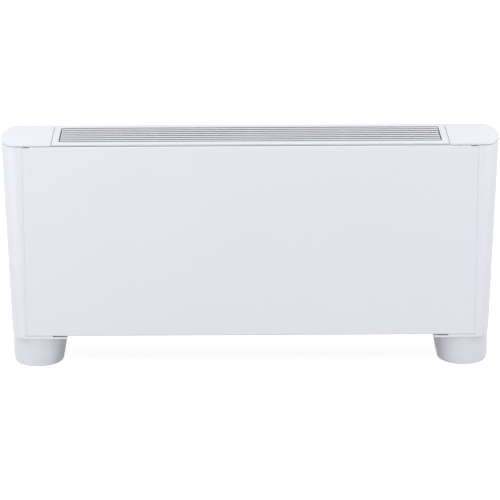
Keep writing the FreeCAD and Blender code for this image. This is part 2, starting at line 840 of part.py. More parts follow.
def fan_deck():
    deck = block(-duct_half, duct_half, front_inner, back_inner, deck_height, deck_top)
    pieces = [deck]
    for x0 in (-duct_half, duct_half - steel):
        pieces.append(block(x0, x0 + steel, front_inner, back_inner, deck_height - deck_flange, deck_top))
    deck = fuse(pieces)
    inner_half = wheel_width / 2 + scroll_side_gap
    outlet = block(fan_spread - inner_half, fan_spread + inner_half, tongue_y, outlet_y,
                   deck_height - overrun, deck_top + overrun)
    return deck.cut(outlet).cut(mirrored(outlet))


# Motor between the fans

def motor_body():
    # Many-sided can between two bosses that carry the shaft
    half = motor_length / 2
    end = half + boss_length
    can = prism_x(motor_sides, motor_radius * 2, -half, half, fan_axis_y, fan_axis_height)
    bosses = ring_block(boss_flats, -end, end)
    return fuse([can, bosses]).cut(rod_x(shaft_radius + running / 2, -end - overrun, end + overrun,
                                         fan_axis_y, fan_axis_height))


def ring_start():
    return motor_length / 2 + hanger_gap


def ring_block(flats, x0, x1):
    return prism_x(8, flats, x0, x1, fan_axis_y, fan_axis_height)


def motor_rings():
    # Rubber rings, eight-sided so that the motor can't turn in its hangers
    x0 = ring_start()
    x1 = x0 + ring_width
    ring = ring_block(ring_flats, x0, x1).cut(ring_block(boss_flats, x0 - overrun, x1 + overrun))
    return Part.makeCompound([ring, mirrored(ring)])


def hanger():
    # Plate with chamfered lower corners round the rubber ring, and a flange under the fan deck
    x0 = ring_start() + (ring_width - hanger_steel) / 2
    x1 = x0 + hanger_steel
    top = deck_height - seat
    half = hanger_width / 2
    y0 = fan_axis_y - half
    y1 = fan_axis_y + half
    bottom = fan_axis_height - half
    corner = half / 2
    plate = outline_face([Vector(x0, y0, top), Vector(x0, y1, top), Vector(x0, y1, bottom + corner),
                          Vector(x0, y1 - corner, bottom), Vector(x0, y0 + corner, bottom),
                          Vector(x0, y0, bottom + corner)]).extrude(Vector(hanger_steel, 0, 0))
    flange = block(x0 - hanger_flange + hanger_steel, x1, y0, y1, top - hanger_steel, top)
    return fuse([plate, flange]).cut(ring_block(ring_flats, x0 - overrun, x1 + overrun))


def motor_hangers():
    return Part.makeCompound([hanger(), mirrored(hanger())])


# Water coil, built upright and then tilted into place

coil_y = 0.0


def tilted(shape):
    shape.rotate(origin, x_axis, -coil_tilt)
    shape.translate(Vector(0, coil_y, coil_centre_height))
    return shape


def tilted_point(x, y, z):
    angle = math.radians(coil_tilt)
    return Vector(x, coil_y + y * math.cos(angle) + z * math.sin(angle),
                  coil_centre_height - y * math.sin(angle) + z * math.cos(angle))


def coil_fins():
    half_y = coil_thickness / 2
    half_z = coil_height / 2
    count = int(coil_half * 2 / fin_pitch)
    pitch = coil_half * 2 / count
    points = [Vector(-coil_half, half_y, -half_z)]
    for number in range(count):
        start = -coil_half + number * pitch
        root = half_y - fin_depth
        groove = start + pitch - fin_gap
        points += [Vector(groove, half_y, -half_z), Vector(groove, root, -half_z),
                   Vector(start + pitch, root, -half_z), Vector(start + pitch, half_y, -half_z)]
    points = points[:-2] + [Vector(coil_half, half_y - fin_depth, -half_z)]
    mirrored_side = [Vector(point.x, -point.y, point.z) for point in reversed(points)]
    face = outline_face(points + mirrored_side)
    return tilted(face.extrude(Vector(0, 0, coil_height)))


def coil_end_plates():
    grow = channel_margin
    half_y = coil_thickness / 2 + grow
    half_z = coil_height / 2 + grow
    outer = block(coil_half, duct_half, -half_y, half_y, -half_z, half_z)
    hollow = block(coil_back, duct_half + overrun, steel - half_y, half_y - steel, steel - half_z,
                   half_z - steel)
    plate = outer.cut(hollow)
    return Part.makeCompound([tilted(plate.copy()), tilted(mirrored(plate))])


def tube_levels():
    pitch = (coil_height - tube_row_gap) / (coil_tubes - 1)
    first = -(coil_height - tube_row_gap) / 2
    return [first + pitch * number for number in range(coil_tubes)]


def return_bends():
    # Each tube turns back in four corners from one row to the other
    half = tube_row_gap / 2
    corner = (half - bend_straight) / 2
    deep = coil_back + bend_straight + corner
    places = [(coil_back, -half), (coil_back + bend_straight, -half), (deep, corner - half),
              (deep, half - corner), (coil_back + bend_straight, half), (coil_back, half)]
    path = Part.makePolygon([Vector(x, y, 0) for x, y in places])
    section = regular_face(tube_sides, tube_radius * 2, coil_back, -half, 0).OuterWire
    right_corners = 1
    one_bend = path.makePipeShell([section], True, False, right_corners)
    bends = []
    for z in tube_levels():
        bend = one_bend.copy()
        bend.translate(Vector(0, 0, z))
        bends.append(tilted(bend))
    return Part.makeCompound(bends)


header_x = -(coil_back + header_gap)


def header_end(row):
    # Supply leaves at the lower end of its header, return at the upper end of the other
    return row * (coil_height / 2 - header_overhang * 2)


def header(row):
    y = -row * tube_row_gap / 2
    half = coil_height / 2 - header_overhang
    stack = upright(prism_x(header_sides, header_radius * 2, 0, half * 2, 0, 0), header_x, y, -half)
    pieces = [stack]
    for z in tube_levels():
        pieces.append(prism_x(tube_sides, tube_radius * 2, header_x, -coil_back, y, z))
    body = tilted(fuse(pieces))
    return fuse([body, header_pipe(row, header_radius)])


def header_pipe(row, radius):
    start = tilted_point(header_x, -row * tube_row_gap / 2, header_end(row))
    end_x = -side_outer - socket_standoff
    return rod_x(radius, end_x, header_x, start.y, start.z)


def socket(row):
    place = tilted_point(header_x, -row * tube_row_gap / 2, header_end(row))
    x1 = -side_outer - socket_standoff
    x0 = x1 - socket_length
    body = prism_x(6, socket_flats, x0, x1, place.y, place.z)
    return body.cut(rod_x(socket_bore, x0 - overrun, x0 + socket_depth, place.y, place.z))


def air_vent_valve():
    place = tilted_point(header_x, -tube_row_gap / 2, header_end(1))
    x = -side_outer - socket_standoff / 2
    bottom = place.z + header_radius - vent_radius / 2
    top = bottom + vent_height
    cap = upright(prism_x(6, vent_cap_flats, 0, vent_cap_height, 0, 0), x, place.y, top - vent_cap_height)
    body = fuse([rod_z(vent_radius, bottom, top, x, place.y), cap])
    return body.cut(rod_x(header_radius, x - vent_cap_flats, x + vent_cap_flats, place.y, place.z))


# Condensate pans

pan_front = foam_front + foam + seat
spout_y = pan_front + spout_inset
spout_z = duct_floor + pan_wall + spout_radius


def pan_spout_rod(radius):
    return rod_x(radius, -side_outer - spout_reach, -duct_half + pan_wall, spout_y, spout_z)


def drain_pan():
    back = pan_front + pan_width
    top = duct_floor + pan_depth
    body = block(-duct_half, duct_half, pan_front, back, duct_floor, top)
    body = body.cut(block(-duct_half + pan_wall, duct_half - pan_wall, pan_front + pan_wall,
                          back - pan_wall, duct_floor + pan_wall, top + overrun))
    body = fuse([body, pan_spout_rod(spout_radius)])
    return body.cut(rod_x(spout_bore, -side_outer - spout_reach - overrun, -duct_half + pan_wall + overrun,
                          spout_y, spout_z))


def auxiliary_pan():
    x1 = -compartment_x
    x0 = x1 - tray_length
    y0 = -tray_front
    y1 = y0 + tray_width
    top = spout_z - spout_radius - tray_rim_drop
    bottom = top - tray_depth
    body = block(x0, x1, y0, y1, bottom, top)
    outlet_x = x1 - drain_outset
    body = fuse([body, rod_z(drain_radius, bottom - drain_length, bottom + tray_wall, outlet_x, drain_y)])
    body = body.cut(block(x0 + tray_wall, x1 - tray_wall, y0 + tray_wall, y1 - tray_wall,
                          bottom + tray_wall, top + overrun))
    return body.cut(rod_z(drain_bore, bottom - drain_length - overrun, top, outlet_x, drain_y))


# Air filter and its clips

filter_half_x = intake_half - filter_gap
filter_half_y = intake_depth / 2 - filter_gap


def clip_places():
    pitch = filter_half_x * 2 / clip_count
    return [-filter_half_x + pitch * (number + 0.5) for number in range(clip_count)]


def filter_frame():
    bottom = base_bottom
    top = bottom + filter_thickness
    frame = block(-filter_half_x, filter_half_x, -filter_half_y, filter_half_y, bottom, top)
    inner_x = filter_half_x - filter_bar
    inner_y = filter_half_y - filter_bar
    frame = frame.cut(block(-inner_x, inner_x, -inner_y, inner_y, bottom - overrun, top + overrun))
    bars = [frame]
    for number in range(filter_cross_bars):
        x = -inner_x + inner_x * 2 * (number + 1) / (filter_cross_bars + 1)
        bars.append(block(x - filter_cross_width / 2, x + filter_cross_width / 2, -inner_y, inner_y,
                          bottom, top - mesh_thickness))
    frame = fuse(bars)
    frame = frame.cut(mesh_block(0, top - mesh_thickness, top + overrun))
    for x in clip_places():
        for y0, y1 in ((-filter_half_y - overrun, -filter_half_y + clip_groove),
                       (filter_half_y - clip_groove, filter_half_y + overrun)):
            frame = frame.cut(block(x - clip_width / 2 - seat, x + clip_width / 2 + seat, y0, y1,
                                    bottom - overrun, top + overrun))
    return frame


def mesh_block(inset, z0, z1):
    half_x = filter_half_x - filter_bar + mesh_ledge - inset
    half_y = filter_half_y - filter_bar + mesh_ledge - inset
    return block(-half_x, half_x, -half_y, half_y, z0, z1)


def filter_mesh():
    top = base_bottom + filter_thickness
    return mesh_block(seat / 2, top - mesh_thickness, top)


def filter_clips():
    # Spring strips that hook over the collar and press in the frame's grooves
    clips = []
    collar_in = intake_depth / 2
    collar_top = base_top + intake_collar
    inner = collar_in - filter_gap - clip_groove + seat
    outer = collar_in + steel + seat + clip_steel
    for x in clip_places():
        for side in (-1, 1):
            x0 = x - clip_width / 2
            x1 = x + clip_width / 2
            legs = []
            for near, far, low in ((inner, inner + clip_steel, collar_top - clip_drop),
                                   (outer - clip_steel, outer, collar_top - clip_drop)):
                y0, y1 = sorted((side * near, side * far))
                legs.append(block(x0, x1, y0, y1, low, collar_top + seat + clip_steel))
            y0, y1 = sorted((side * inner, side * outer))
            legs.append(block(x0, x1, y0, y1, collar_top + seat, collar_top + seat + clip_steel))
            clips.append(fuse(legs))
    return Part.makeCompound(clips)


# Electrics

def electrical_box():
    x0 = compartment_x
    x1 = x0 + box_length
    y0 = -box_front
    y1 = y0 + box_width
    top = box_bottom + box_height
    body = block(x0, x1, y0, y1, box_bottom, top)
    body = body.cut(block(x0 + steel, x1 + overrun, y0 + steel, y1 - steel, box_bottom + steel,
                          top - steel))
    return body.cut(rod_z(gland_bore + moulding, box_bottom - overrun, box_bottom + steel + overrun,
                          x0 + gland_outset, gland_y))


def electrical_cover():
    x1 = compartment_x + box_length + seat
    y0 = -box_front
    return block(x1, x1 + steel, y0, y0 + box_width, box_bottom, box_bottom + box_height)


def terminal_block():
    x0 = compartment_x + steel
    y0 = -terminal_length / 2
    bottom = box_bottom + terminal_rise
    body = block(x0, x0 + terminal_depth, y0, y0 + terminal_length, bottom, bottom + terminal_height)
    pitch = terminal_length / terminal_ways
    for number in range(1, terminal_ways):
        y = y0 + pitch * number
        body = body.cut(block(x0 + terminal_depth / 2, x0 + terminal_depth + overrun,
                              y - terminal_groove / 2, y + terminal_groove / 2, bottom - overrun,
                              bottom + terminal_height + overrun))
    return body


def capacitor():
    x0 = compartment_x + steel
    bottom = box_bottom + capacitor_rise
    return block(x0, x0 + capacitor_length, -capacitor_width / 2, capacitor_width / 2, bottom,
                 bottom + capacitor_height)


def cable_gland():
    x = compartment_x + gland_outset
    nut = upright(prism_x(6, gland_flats, 0, gland_length, 0, 0), x, gland_y, box_bottom - gland_length)
    thread = rod_z(gland_bore + moulding - screw_clearance, box_bottom - overrun,
                   box_bottom + steel + gland_thread, x, gland_y)
    return fuse([nut, thread]).cut(rod_z(gland_bore, box_bottom - gland_length - overrun,
                                         box_bottom + steel + gland_thread + overrun, x, gland_y))


# Control panel under the right flap

panel_top = casing_top_face - panel_plate_drop
knob_x = compartment_x + knob_outset


def control_panel():
    x0 = compartment_x
    x1 = x0 + panel_length
    half = panel_width / 2
    bottom = panel_top - panel_skirt
    body = block(x0, x1, -half, half, bottom, panel_top)
    body = body.common(end_block(x0 - overrun, moulding * 3, bottom - overrun, panel_top + overrun))
    body = body.cut(block(x0 + moulding, x1 - moulding, moulding - half, half - moulding,
                          bottom - overrun, panel_top - moulding))
    for y in knob_rows():
        body = body.cut(rod_z(stem_radius + running, bottom, panel_top + overrun, knob_x, y))
    return body


def knob_rows():
    return (-knob_spacing / 2, knob_spacing / 2)


def knob(y):
    # Twelve-sided dial with a raised pointer and a stem that turns in the switch below
    bottom = panel_top + seat
    dial = upright(prism_x(knob_sides, knob_radius * 2, 0, knob_height, 0, 0), knob_x, y, bottom)
    pointer = block(knob_x - knob_pointer / 2, knob_x + knob_pointer / 2, y - knob_radius,
                    y - knob_radius / 4, bottom + knob_height - knob_pointer,
                    bottom + knob_height + knob_pointer / 2)
    stem = rod_z(stem_radius, bottom - stem_length, bottom + knob_height / 2, knob_x, y)
    return fuse([dial, pointer, stem])


def switch_body(y):
    top = panel_top - moulding - seat
    half = switch_size / 2
    body = block(knob_x - half, knob_x + half, y - half, y + half, top - switch_height, top)
    return body.cut(rod_z(stem_radius + running, top - switch_socket, top + overrun, knob_x, y))


def save(name, shape):
    shape.exportStep("parts/" + name + ".step")


def main():
    os.makedirs("parts", exist_ok=True)
    right_wheel = fan_wheel()
    both_sides = {"end_cover": end_cover(), "flap": flap(), "flap_pin": flap_pin(),
                  "foot": foot(), "foot_bracket": foot_bracket(),
                  "fan_housing": fan_housing()}
    for name, shape in both_sides.items():
        save(name + "_right", shape)
        save(name + "_left", mirrored(shape))
    to_left = Vector(-fan_spread * 2, 0, 0)
    left_wheel = right_wheel.copy()
    left_wheel.translate(to_left)
    save("fan_wheel_right", right_wheel)
    save("fan_wheel_left", left_wheel)
    thermostat_y, speed_y = knob_rows()
    single = {"front_panel": front_panel(), "top_panel": top_panel(), "outlet_grille": outlet_grille(),
              "hinge_brackets": hinge_brackets(),
              "foot_screws": foot_screws(), "foot_pads": foot_pads(), "base_frame": base_frame(),
              "back_plate": back_plate(), "side_plate_right": side_plate(),
              "side_plate_left": side_plate_left(), "plenum_front_plate": plenum_front_plate(),
              "plenum_insulation": plenum_insulation(), "fan_deck": fan_deck(),
              "motor_shaft": motor_shaft(), "motor_body": motor_body(),
              "motor_rings": motor_rings(),
              "motor_hangers": motor_hangers(),
              "coil_fins": coil_fins(), "coil_end_plates": coil_end_plates(),
              "return_bends": return_bends(), "supply_header": header(-1), "return_header": header(1),
              "supply_socket": socket(-1), "return_socket": socket(1),
              "air_vent_valve": air_vent_valve(), "drain_pan": drain_pan(),
              "auxiliary_pan": auxiliary_pan(), "filter_frame": filter_frame(),
              "filter_mesh": filter_mesh(), "filter_clips": filter_clips(),
              "electrical_box": electrical_box(), "electrical_cover": electrical_cover(),
              "terminal_block": terminal_block(), "capacitor": capacitor(),
              "cable_gland": cable_gland(), "control_panel": control_panel(),
              "thermostat_body": switch_body(thermostat_y), "speed_switch_body": switch_body(speed_y),
              "thermostat_knob": knob(thermostat_y), "speed_knob": knob(speed_y)}
    for name, shape in single.items():
        save(name, shape)


main()
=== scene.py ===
import json
import math

import bmesh
import bpy
from mathutils import Matrix, Vector


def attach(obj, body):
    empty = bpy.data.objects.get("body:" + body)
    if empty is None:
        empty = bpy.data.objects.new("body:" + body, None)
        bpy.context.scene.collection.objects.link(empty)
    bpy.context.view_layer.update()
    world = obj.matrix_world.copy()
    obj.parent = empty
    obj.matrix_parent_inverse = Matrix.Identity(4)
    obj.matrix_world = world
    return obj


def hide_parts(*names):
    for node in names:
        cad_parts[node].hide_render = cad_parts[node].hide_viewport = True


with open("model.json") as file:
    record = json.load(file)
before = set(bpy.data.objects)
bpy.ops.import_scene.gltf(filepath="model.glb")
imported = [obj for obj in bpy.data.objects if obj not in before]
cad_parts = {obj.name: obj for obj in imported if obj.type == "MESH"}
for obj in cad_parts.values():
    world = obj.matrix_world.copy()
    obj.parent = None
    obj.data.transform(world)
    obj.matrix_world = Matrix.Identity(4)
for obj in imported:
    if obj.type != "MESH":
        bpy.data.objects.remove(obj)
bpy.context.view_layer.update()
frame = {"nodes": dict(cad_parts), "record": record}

record = frame["record"]
bodyOf = {node: body for body, nodes in record["behaviour"]["bodies"].items() for node in nodes}
slotOf = {part["node"]: part["material_slot"] for part in record["subparts"]}
mm = 0.001  # all sizes below are in millimetres
near = 0.01  # places closer than this count as the same
close = 0.1  # and this is near enough to find an edge or a face


# Working helpers

def pick(*objects):
    bpy.ops.object.select_all(action="DESELECT")
    for thing in objects:
        thing.select_set(True)
    bpy.context.view_layer.objects.active = objects[0]


def settle(piece, name):
    # place, turn and size go into the mesh, so the object itself stays at the origin
    pick(piece)
    piece.name = name
    piece.data.name = name
    bpy.ops.object.transform_apply(location=True, rotation=True, scale=True)
    return piece


def addBlock(name, low, high):
    middle = [(a + b) / 2 * mm for a, b in zip(low, high)]
    size = [(b - a) * mm for a, b in zip(low, high)]
    bpy.ops.mesh.primitive_cube_add(size=1, location=middle, scale=size)
    return settle(bpy.context.object, name)


def centredBlock(name, halfX, halfY, low, high):
    return addBlock(name, (-halfX, -halfY, low), (halfX, halfY, high))


def sideBlock(name, side, low, high):
    # a block given for the right side, mirrored where the side is -1
    ends = sorted((side * low[0], side * high[0]))
    return addBlock(name, (ends[0], *low[1:]), (ends[1], *high[1:]))


def addSheet(name, middle, size, turn=(0, 0, 0)):
    # a flat rectangle
    bpy.ops.mesh.primitive_plane_add(size=1, location=Vector(middle) * mm, rotation=turn)
    bpy.context.object.scale = (size[0] * mm, size[1] * mm, 1)
    return settle(bpy.context.object, name)


def addRod(name, radius, start, end, sides=32):
    # a cylinder from one point to the other
    first, last = Vector(start) * mm, Vector(end) * mm
    run = last - first
    bpy.ops.mesh.primitive_cylinder_add(vertices=sides, radius=radius * mm, depth=run.length,
                                        location=(first + last) / 2,
                                        rotation=run.to_track_quat("Z", "Y").to_euler())
    return settle(bpy.context.object, name)


def lyingRod(name, radius, fromX, toX, spot, sides=32):
    # a cylinder along x through a place in the side view
    return addRod(name, radius, (fromX, *spot), (toX, *spot), sides)


def openMesh(piece, kind="VERT", action="SELECT"):
    pick(piece)
    bpy.ops.object.mode_set(mode="EDIT")
    bpy.ops.mesh.select_mode(type=kind)
    bpy.ops.mesh.select_all(action=action)
    return bmesh.from_edit_mesh(piece.data)


def closeMesh():
    bpy.ops.object.mode_set(mode="OBJECT")


def openAt(piece, kind, test):
    # opens the mesh and selects what passes the test, which gets the place of a corner,
    # both ends of an edge, or a face's middle and normal
    mesh = openMesh(piece, kind, "DESELECT")
    for part in {"VERT": mesh.verts, "EDGE": mesh.edges, "FACE": mesh.faces}[kind]:
        if kind == "VERT":
            seen = [part.co / mm]
        elif kind == "EDGE":
            seen = [end.co / mm for end in part.verts]
        else:
            seen = [part.calc_center_median() / mm, part.normal]
        part.select_set(test(*seen))
    bmesh.update_edit_mesh(piece.data)
    return mesh


def bevelEdges(piece, test, width, segments=3):
    openAt(piece, "EDGE", test)
    bpy.ops.mesh.bevel(offset=width * mm, segments=segments, affect="EDGES", clamp_overlap=True)
    closeMesh()
    return piece


def insetFaces(piece, test, *steps, single=False):
    # each step says how far in and how far out
    openAt(piece, "FACE", test)
    for width, rise in steps:
        bpy.ops.mesh.inset(thickness=width * mm, depth=rise * mm, use_individual=single)
    closeMesh()


def applyModifier(piece, kind, **values):
    pick(piece)
    modifier = piece.modifiers.new(kind.title(), kind)
    for key, value in values.items():
        setattr(modifier, key, value)
    bpy.ops.object.modifier_apply(modifier=modifier.name)
    return piece


def roundOff(piece, width, segments=2, angle=35):
    return applyModifier(piece, "BEVEL", width=width * mm, segments=segments, limit_method="ANGLE",
                         angle_limit=math.radians(angle), harden_normals=False)


def joinOn(piece, other, how="UNION"):
    applyModifier(piece, "BOOLEAN", operation=how, object=other, solver="EXACT")
    bpy.data.objects.remove(other)
    return piece


def cutAway(piece, cutter):
    return joinOn(piece, cutter, "DIFFERENCE")


def joinAll(name, pieces):
    pick(*pieces)
    if len(pieces) > 1:
        bpy.ops.object.join()
    return settle(bpy.context.object, name)


def copyOf(piece, name, shift=(0, 0, 0)):
    twin = piece.copy()
    twin.data = piece.data.copy()
    bpy.context.scene.collection.objects.link(twin)
    twin.location = Vector(shift) * mm
    return settle(twin, name)


def mirroredCopy(piece, name):
    twin = copyOf(piece, name)
    twin.scale.x = -1
    settle(twin, name)
    openMesh(twin, "FACE")
    bpy.ops.mesh.normals_make_consistent(inside=False)
    closeMesh()
    return twin


def mendMesh(piece):
    openMesh(piece)
    bpy.ops.mesh.remove_doubles(threshold=0.02 * mm)
    bpy.ops.mesh.normals_make_consistent(inside=False)
    closeMesh()
    return piece


def giveWall(piece, wall):
    # the wall grows inwards from the outer face that was modelled
    mendMesh(piece)
    return applyModifier(piece, "SOLIDIFY", thickness=wall * mm, offset=-1.0, use_even_offset=True)


def closeLoop(piece, test):
    # a face over the open loop whose corners pass the test
    openAt(piece, "VERT", test).select_flush(True)
    bpy.ops.mesh.edge_face_add()
    closeMesh()
    return piece


def closePrism(piece, low, high, atEnd):
    for test in (atEnd, lambda spot: abs(spot.z - low) < near, lambda spot: abs(spot.z - high) < near):
        closeLoop(piece, test)
    return mendMesh(piece)


def sliceAt(piece, *planes, trim=False):
    # cuts along each plane, a point and a direction, and drops what lies beyond it when it trims
    openMesh(piece)
    for spot, normal in planes:
        bpy.ops.mesh.select_all(action="SELECT")
        bpy.ops.mesh.bisect(plane_co=Vector(spot) * mm, plane_no=normal, clear_outer=trim)
    closeMesh()
    return piece


def evenShading(piece):
    # broad faces keep their own direction beside small rounded edges
    return applyModifier(piece, "WEIGHTED_NORMAL", mode="FACE_AREA", keep_sharp=True, weight=60)


def camel(words):
    first, *rest = words.split("_")
    return first + "".join(word.title() for word in rest)


def finishPiece(piece, *nodes, slotName=None, smooth=35):
    # body and finish are those of the first CAD node that the piece replaces;
    # one that replaces none sits on the casing
    slotName = slotName or slotOf[nodes[0]]
    piece.data.materials.clear()
    piece.data.materials.append(finish[camel(slotName)])
    pick(piece)
    bpy.ops.object.shade_smooth_by_angle(angle=math.radians(smooth), keep_sharp_edges=False)
    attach(piece, bodyOf[nodes[0]] if nodes else "cabinet")
    if nodes:
        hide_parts(*nodes)
    return piece


def finishPair(right, leftName, node, even=True):
    # the right-hand piece and its mirrored twin
    for piece, side in ((right, "_right"), (mirroredCopy(right, leftName), "_left")):
        finishPiece(piece, node + side)
        if even:
            evenShading(piece)


# Materials: each finish is a small recipe of noise patterns in the object's own coordinates,
# which gives the height for the bump and the shader's values

def linear(colour):
    # a screen colour from 0 to 255 as the renderer's own numbers
    shades = [value / 255 for value in colour]
    return [v / 12.92 if v <= 0.04045 else ((v + 0.055) / 1.055) ** 2.4 for v in shades]


def feed(tree, node, values):
    # each value goes to the socket or setting of that name; what another node gives out is linked
    for key, value in values.items():
        if isinstance(key, str) and key not in node.inputs:
            setattr(node, key, value)
        elif isinstance(value, bpy.types.NodeSocket):
            tree.links.new(value, node.inputs[key])
        else:
            node.inputs[key].default_value = value
    return node


def addNode(tree, kind, values):
    return feed(tree, tree.nodes.new("ShaderNode" + kind), values)


def noiseOf(tree, place, scale, detail, stretch=None):
    if stretch:
        place = addNode(tree, "Mapping", {"Vector": place, "Scale": stretch}).outputs["Vector"]
    return addNode(tree, "TexNoise", {"Vector": place, "Scale": scale, "Detail": detail}).outputs["Fac"]


def tintOf(tree, value, colour, *stops):
    # the colour, dimmed to a share of itself at each of two stops
    ramp = addNode(tree, "ValToRGB", {"Fac": value})
    for element, (spot, share) in zip(ramp.color_ramp.elements, stops):
        element.position = spot
        element.color = [v * share for v in linear(colour)] + [1]
    return ramp.outputs["Color"]


def rangeOf(tree, value, low, high):
    return addNode(tree, "MapRange", {"Value": value, "To Min": low, "To Max": high}).outputs["Result"]


def largestOf(tree, first, *others):
    for other in others:
        first = addNode(tree, "Math", {"operation": "MAXIMUM", 0: first, 1: other}).outputs["Value"]
    return first


def paintedFinish(tree, place, v):
    # powder coat or moulded plastic: fine grain, faint colour drift, a soft sheen
    drift = noiseOf(tree, place, v["driftScale"], 3.0)
    grain = noiseOf(tree, place, v["grainScale"], 4.0)
    return grain, {"Base Color": tintOf(tree, drift, v["colour"], (0.3, 1 - v["drift"]), (0.7, 1)),
                   "Roughness": rangeOf(tree, grain, v["roughness"] - 0.05, v["roughness"] + 0.05),
                   "Specular IOR Level": v["specular"]}


def sheetFinish(tree, place, v):
    # zinc or fin metal: crystals as cells of slightly different grey, with a fine brushed bump
    cells = addNode(tree, "TexVoronoi", {"Vector": place, "Scale": v["crystalScale"]})
    parts = addNode(tree, "SeparateColor", {"Color": cells.outputs["Color"]}).outputs
    brushed = noiseOf(tree, place, v["brushScale"], 2.0, v["brushStretch"])
    tint = tintOf(tree, parts["Red"], v["colour"], (0.0, 1 - v["contrast"]), (1.0, 1))
    rough = rangeOf(tree, parts["Green"], v["roughness"] - 0.08, v["roughness"] + 0.08)
    return brushed, {"Base Color": tint, "Roughness": rough, "Metallic": v["metallic"]}


def metalFinish(tree, place, v):
    # turned or drawn metal with a little tarnish
    tarnish = noiseOf(tree, place, v["tarnishScale"], 5.0)
    lines = noiseOf(tree, place, v["lineScale"], 2.0, v["lineStretch"])
    tint = tintOf(tree, tarnish, v["colour"], (0.35, 1 - v["tarnish"]), (0.65, 1))
    rough = rangeOf(tree, lines, v["roughness"] - 0.06, v["roughness"] + 0.1)
    return lines, {"Base Color": tint, "Roughness": rough, "Metallic": 1.0}


def foamFinish(tree, place, v):
    # closed-cell foam: small cells as bumps, no shine
    cells = addNode(tree, "TexVoronoi", {"Vector": place, "Scale": v["cellScale"]}).outputs["Distance"]
    tint = tintOf(tree, cells, v["colour"], (0.0, 1), (0.8, 1 - v["contrast"]))
    return cells, {"Base Color": tint, "Roughness": 0.95, "Specular IOR Level": 0.2}


def clothFinish(tree, place, v):
    # open woven filter cloth: crossed threads from two wave patterns
    waves = [addNode(tree, "TexWave", {"bands_direction": way, "Vector": place, "Distortion": 0.4,
                                       "Scale": v["threadScale"]}).outputs["Fac"] for way in "XY"]
    weave = largestOf(tree, *waves)
    tint = tintOf(tree, weave, v["colour"], (0.35, v["gapShade"]), (0.8, 1))
    return weave, {"Base Color": tint, "Roughness": 0.85}


finishes = dict(
    # bump: strength and depth in millimetres
    whitePaint=dict(colour=(229, 230, 237), drift=0.012, driftScale=4.0, grainScale=650,
                    bump=(0.12, 0.05), roughness=0.42, specular=0.45),
    whitePlastic=dict(colour=(230, 231, 238), drift=0.012, driftScale=6.0, grainScale=1100,
                      bump=(0.2, 0.05), roughness=0.5, specular=0.4),
    motorPaint=dict(colour=(58, 59, 62), drift=0.2, driftScale=30.0, grainScale=900,
                    bump=(0.3, 0.08), roughness=0.5, specular=0.4),
    blackRubber=dict(colour=(38, 38, 39), drift=0.25, driftScale=60.0, grainScale=1500,
                     bump=(0.35, 0.08), roughness=0.8, specular=0.25),
    blackPlastic=dict(colour=(42, 42, 44), drift=0.15, driftScale=40.0, grainScale=1800,
                      bump=(0.3, 0.06), roughness=0.55, specular=0.35),
    greyPlastic=dict(colour=(150, 152, 156), drift=0.06, driftScale=20.0, grainScale=1400,
                     bump=(0.25, 0.06), roughness=0.55, specular=0.35),
    galvanisedSteel=dict(colour=(196, 199, 203), crystalScale=110, contrast=0.22, roughness=0.42,
                         brushScale=160, brushStretch=(1, 8, 8), bump=(0.2, 0.05), metallic=0.85),
    finAluminium=dict(colour=(214, 217, 222), crystalScale=500, contrast=0.08, roughness=0.36,
                      brushScale=500, brushStretch=(8, 1, 1), bump=(0.2, 0.05), metallic=0.95),
    plainSteel=dict(colour=(190, 192, 196), tarnish=0.15, tarnishScale=60, lineScale=400,
                    lineStretch=(1, 1, 6), bump=(0.15, 0.03), roughness=0.34),
    copper=dict(colour=(196, 124, 92), tarnish=0.35, tarnishScale=45, lineScale=300,
                lineStretch=(1, 6, 6), bump=(0.15, 0.03), roughness=0.32),
    brass=dict(colour=(204, 176, 112), tarnish=0.2, tarnishScale=70, lineScale=500,
               lineStretch=(6, 1, 1), bump=(0.15, 0.03), roughness=0.3),
    insulationFoam=dict(colour=(62, 63, 66), cellScale=420, contrast=0.45, bump=(0.6, 0.4)),
    filterCloth=dict(colour=(104, 108, 114), threadScale=260, gapShade=0.25, bump=(0.7, 0.3)),
)
recipes = dict(galvanisedSteel=sheetFinish, finAluminium=sheetFinish, plainSteel=metalFinish,
               copper=metalFinish, brass=metalFinish, insulationFoam=foamFinish,
               filterCloth=clothFinish)  # the others are painted


def newMaterial(name):
    material = bpy.data.materials.new(name)
    material.use_nodes = True
    tree = material.node_tree
    return material, tree, addNode(tree, "TexCoord", {}).outputs["Object"]


finish = {}
for name, values in finishes.items():
    finish[name], tree, place = newMaterial(name)
    height, settings = recipes.get(name, paintedFinish)(tree, place, values)
    strength, depth = values["bump"]
    bump = addNode(tree, "Bump", {"Height": height, "Strength": strength, "Distance": depth * mm})
    feed(tree, tree.nodes["Principled BSDF"], {**settings, "Normal": bump.outputs["Normal"]})
for name, node in frame["nodes"].items():
    node.data.materials.clear()
    node.data.materials.append(finish[camel(slotOf[name])])
print("materials are on all CAD nodes:", len(frame["nodes"]))


# Rounded ends: one strip bent round the corner, the wide nose and the other corner

endValues = dict(
    runEnd=562.0,  # where the flat front ends
    halfDepth=100.0,
    corner=26.04,  # radius of both corners
    reach=42.0,  # from the flat front to the tip, at the bottom
    bottom=87.0,
    lean=16.0,  # how far the top stands out past the bottom
    height=495.0,
    spare=60.0,  # strip past the cut at both ends
    cornerSteps=14,
    noseSteps=24,
)


def pickFreeEdge(strip):
    # the upright open edge at the end of a strip that was bent so far
    mesh = openMesh(strip, "EDGE", "DESELECT")
    upright = [edge for edge in mesh.edges if len(edge.link_faces) == 1 and
               abs((edge.verts[0].co - edge.verts[1].co).normalized().z) > 0.9]
    max(upright, key=lambda edge: (round(edge.verts[0].co.y, 5), edge.verts[0].co.x)).select_set(True)
    bmesh.update_edit_mesh(strip.data)


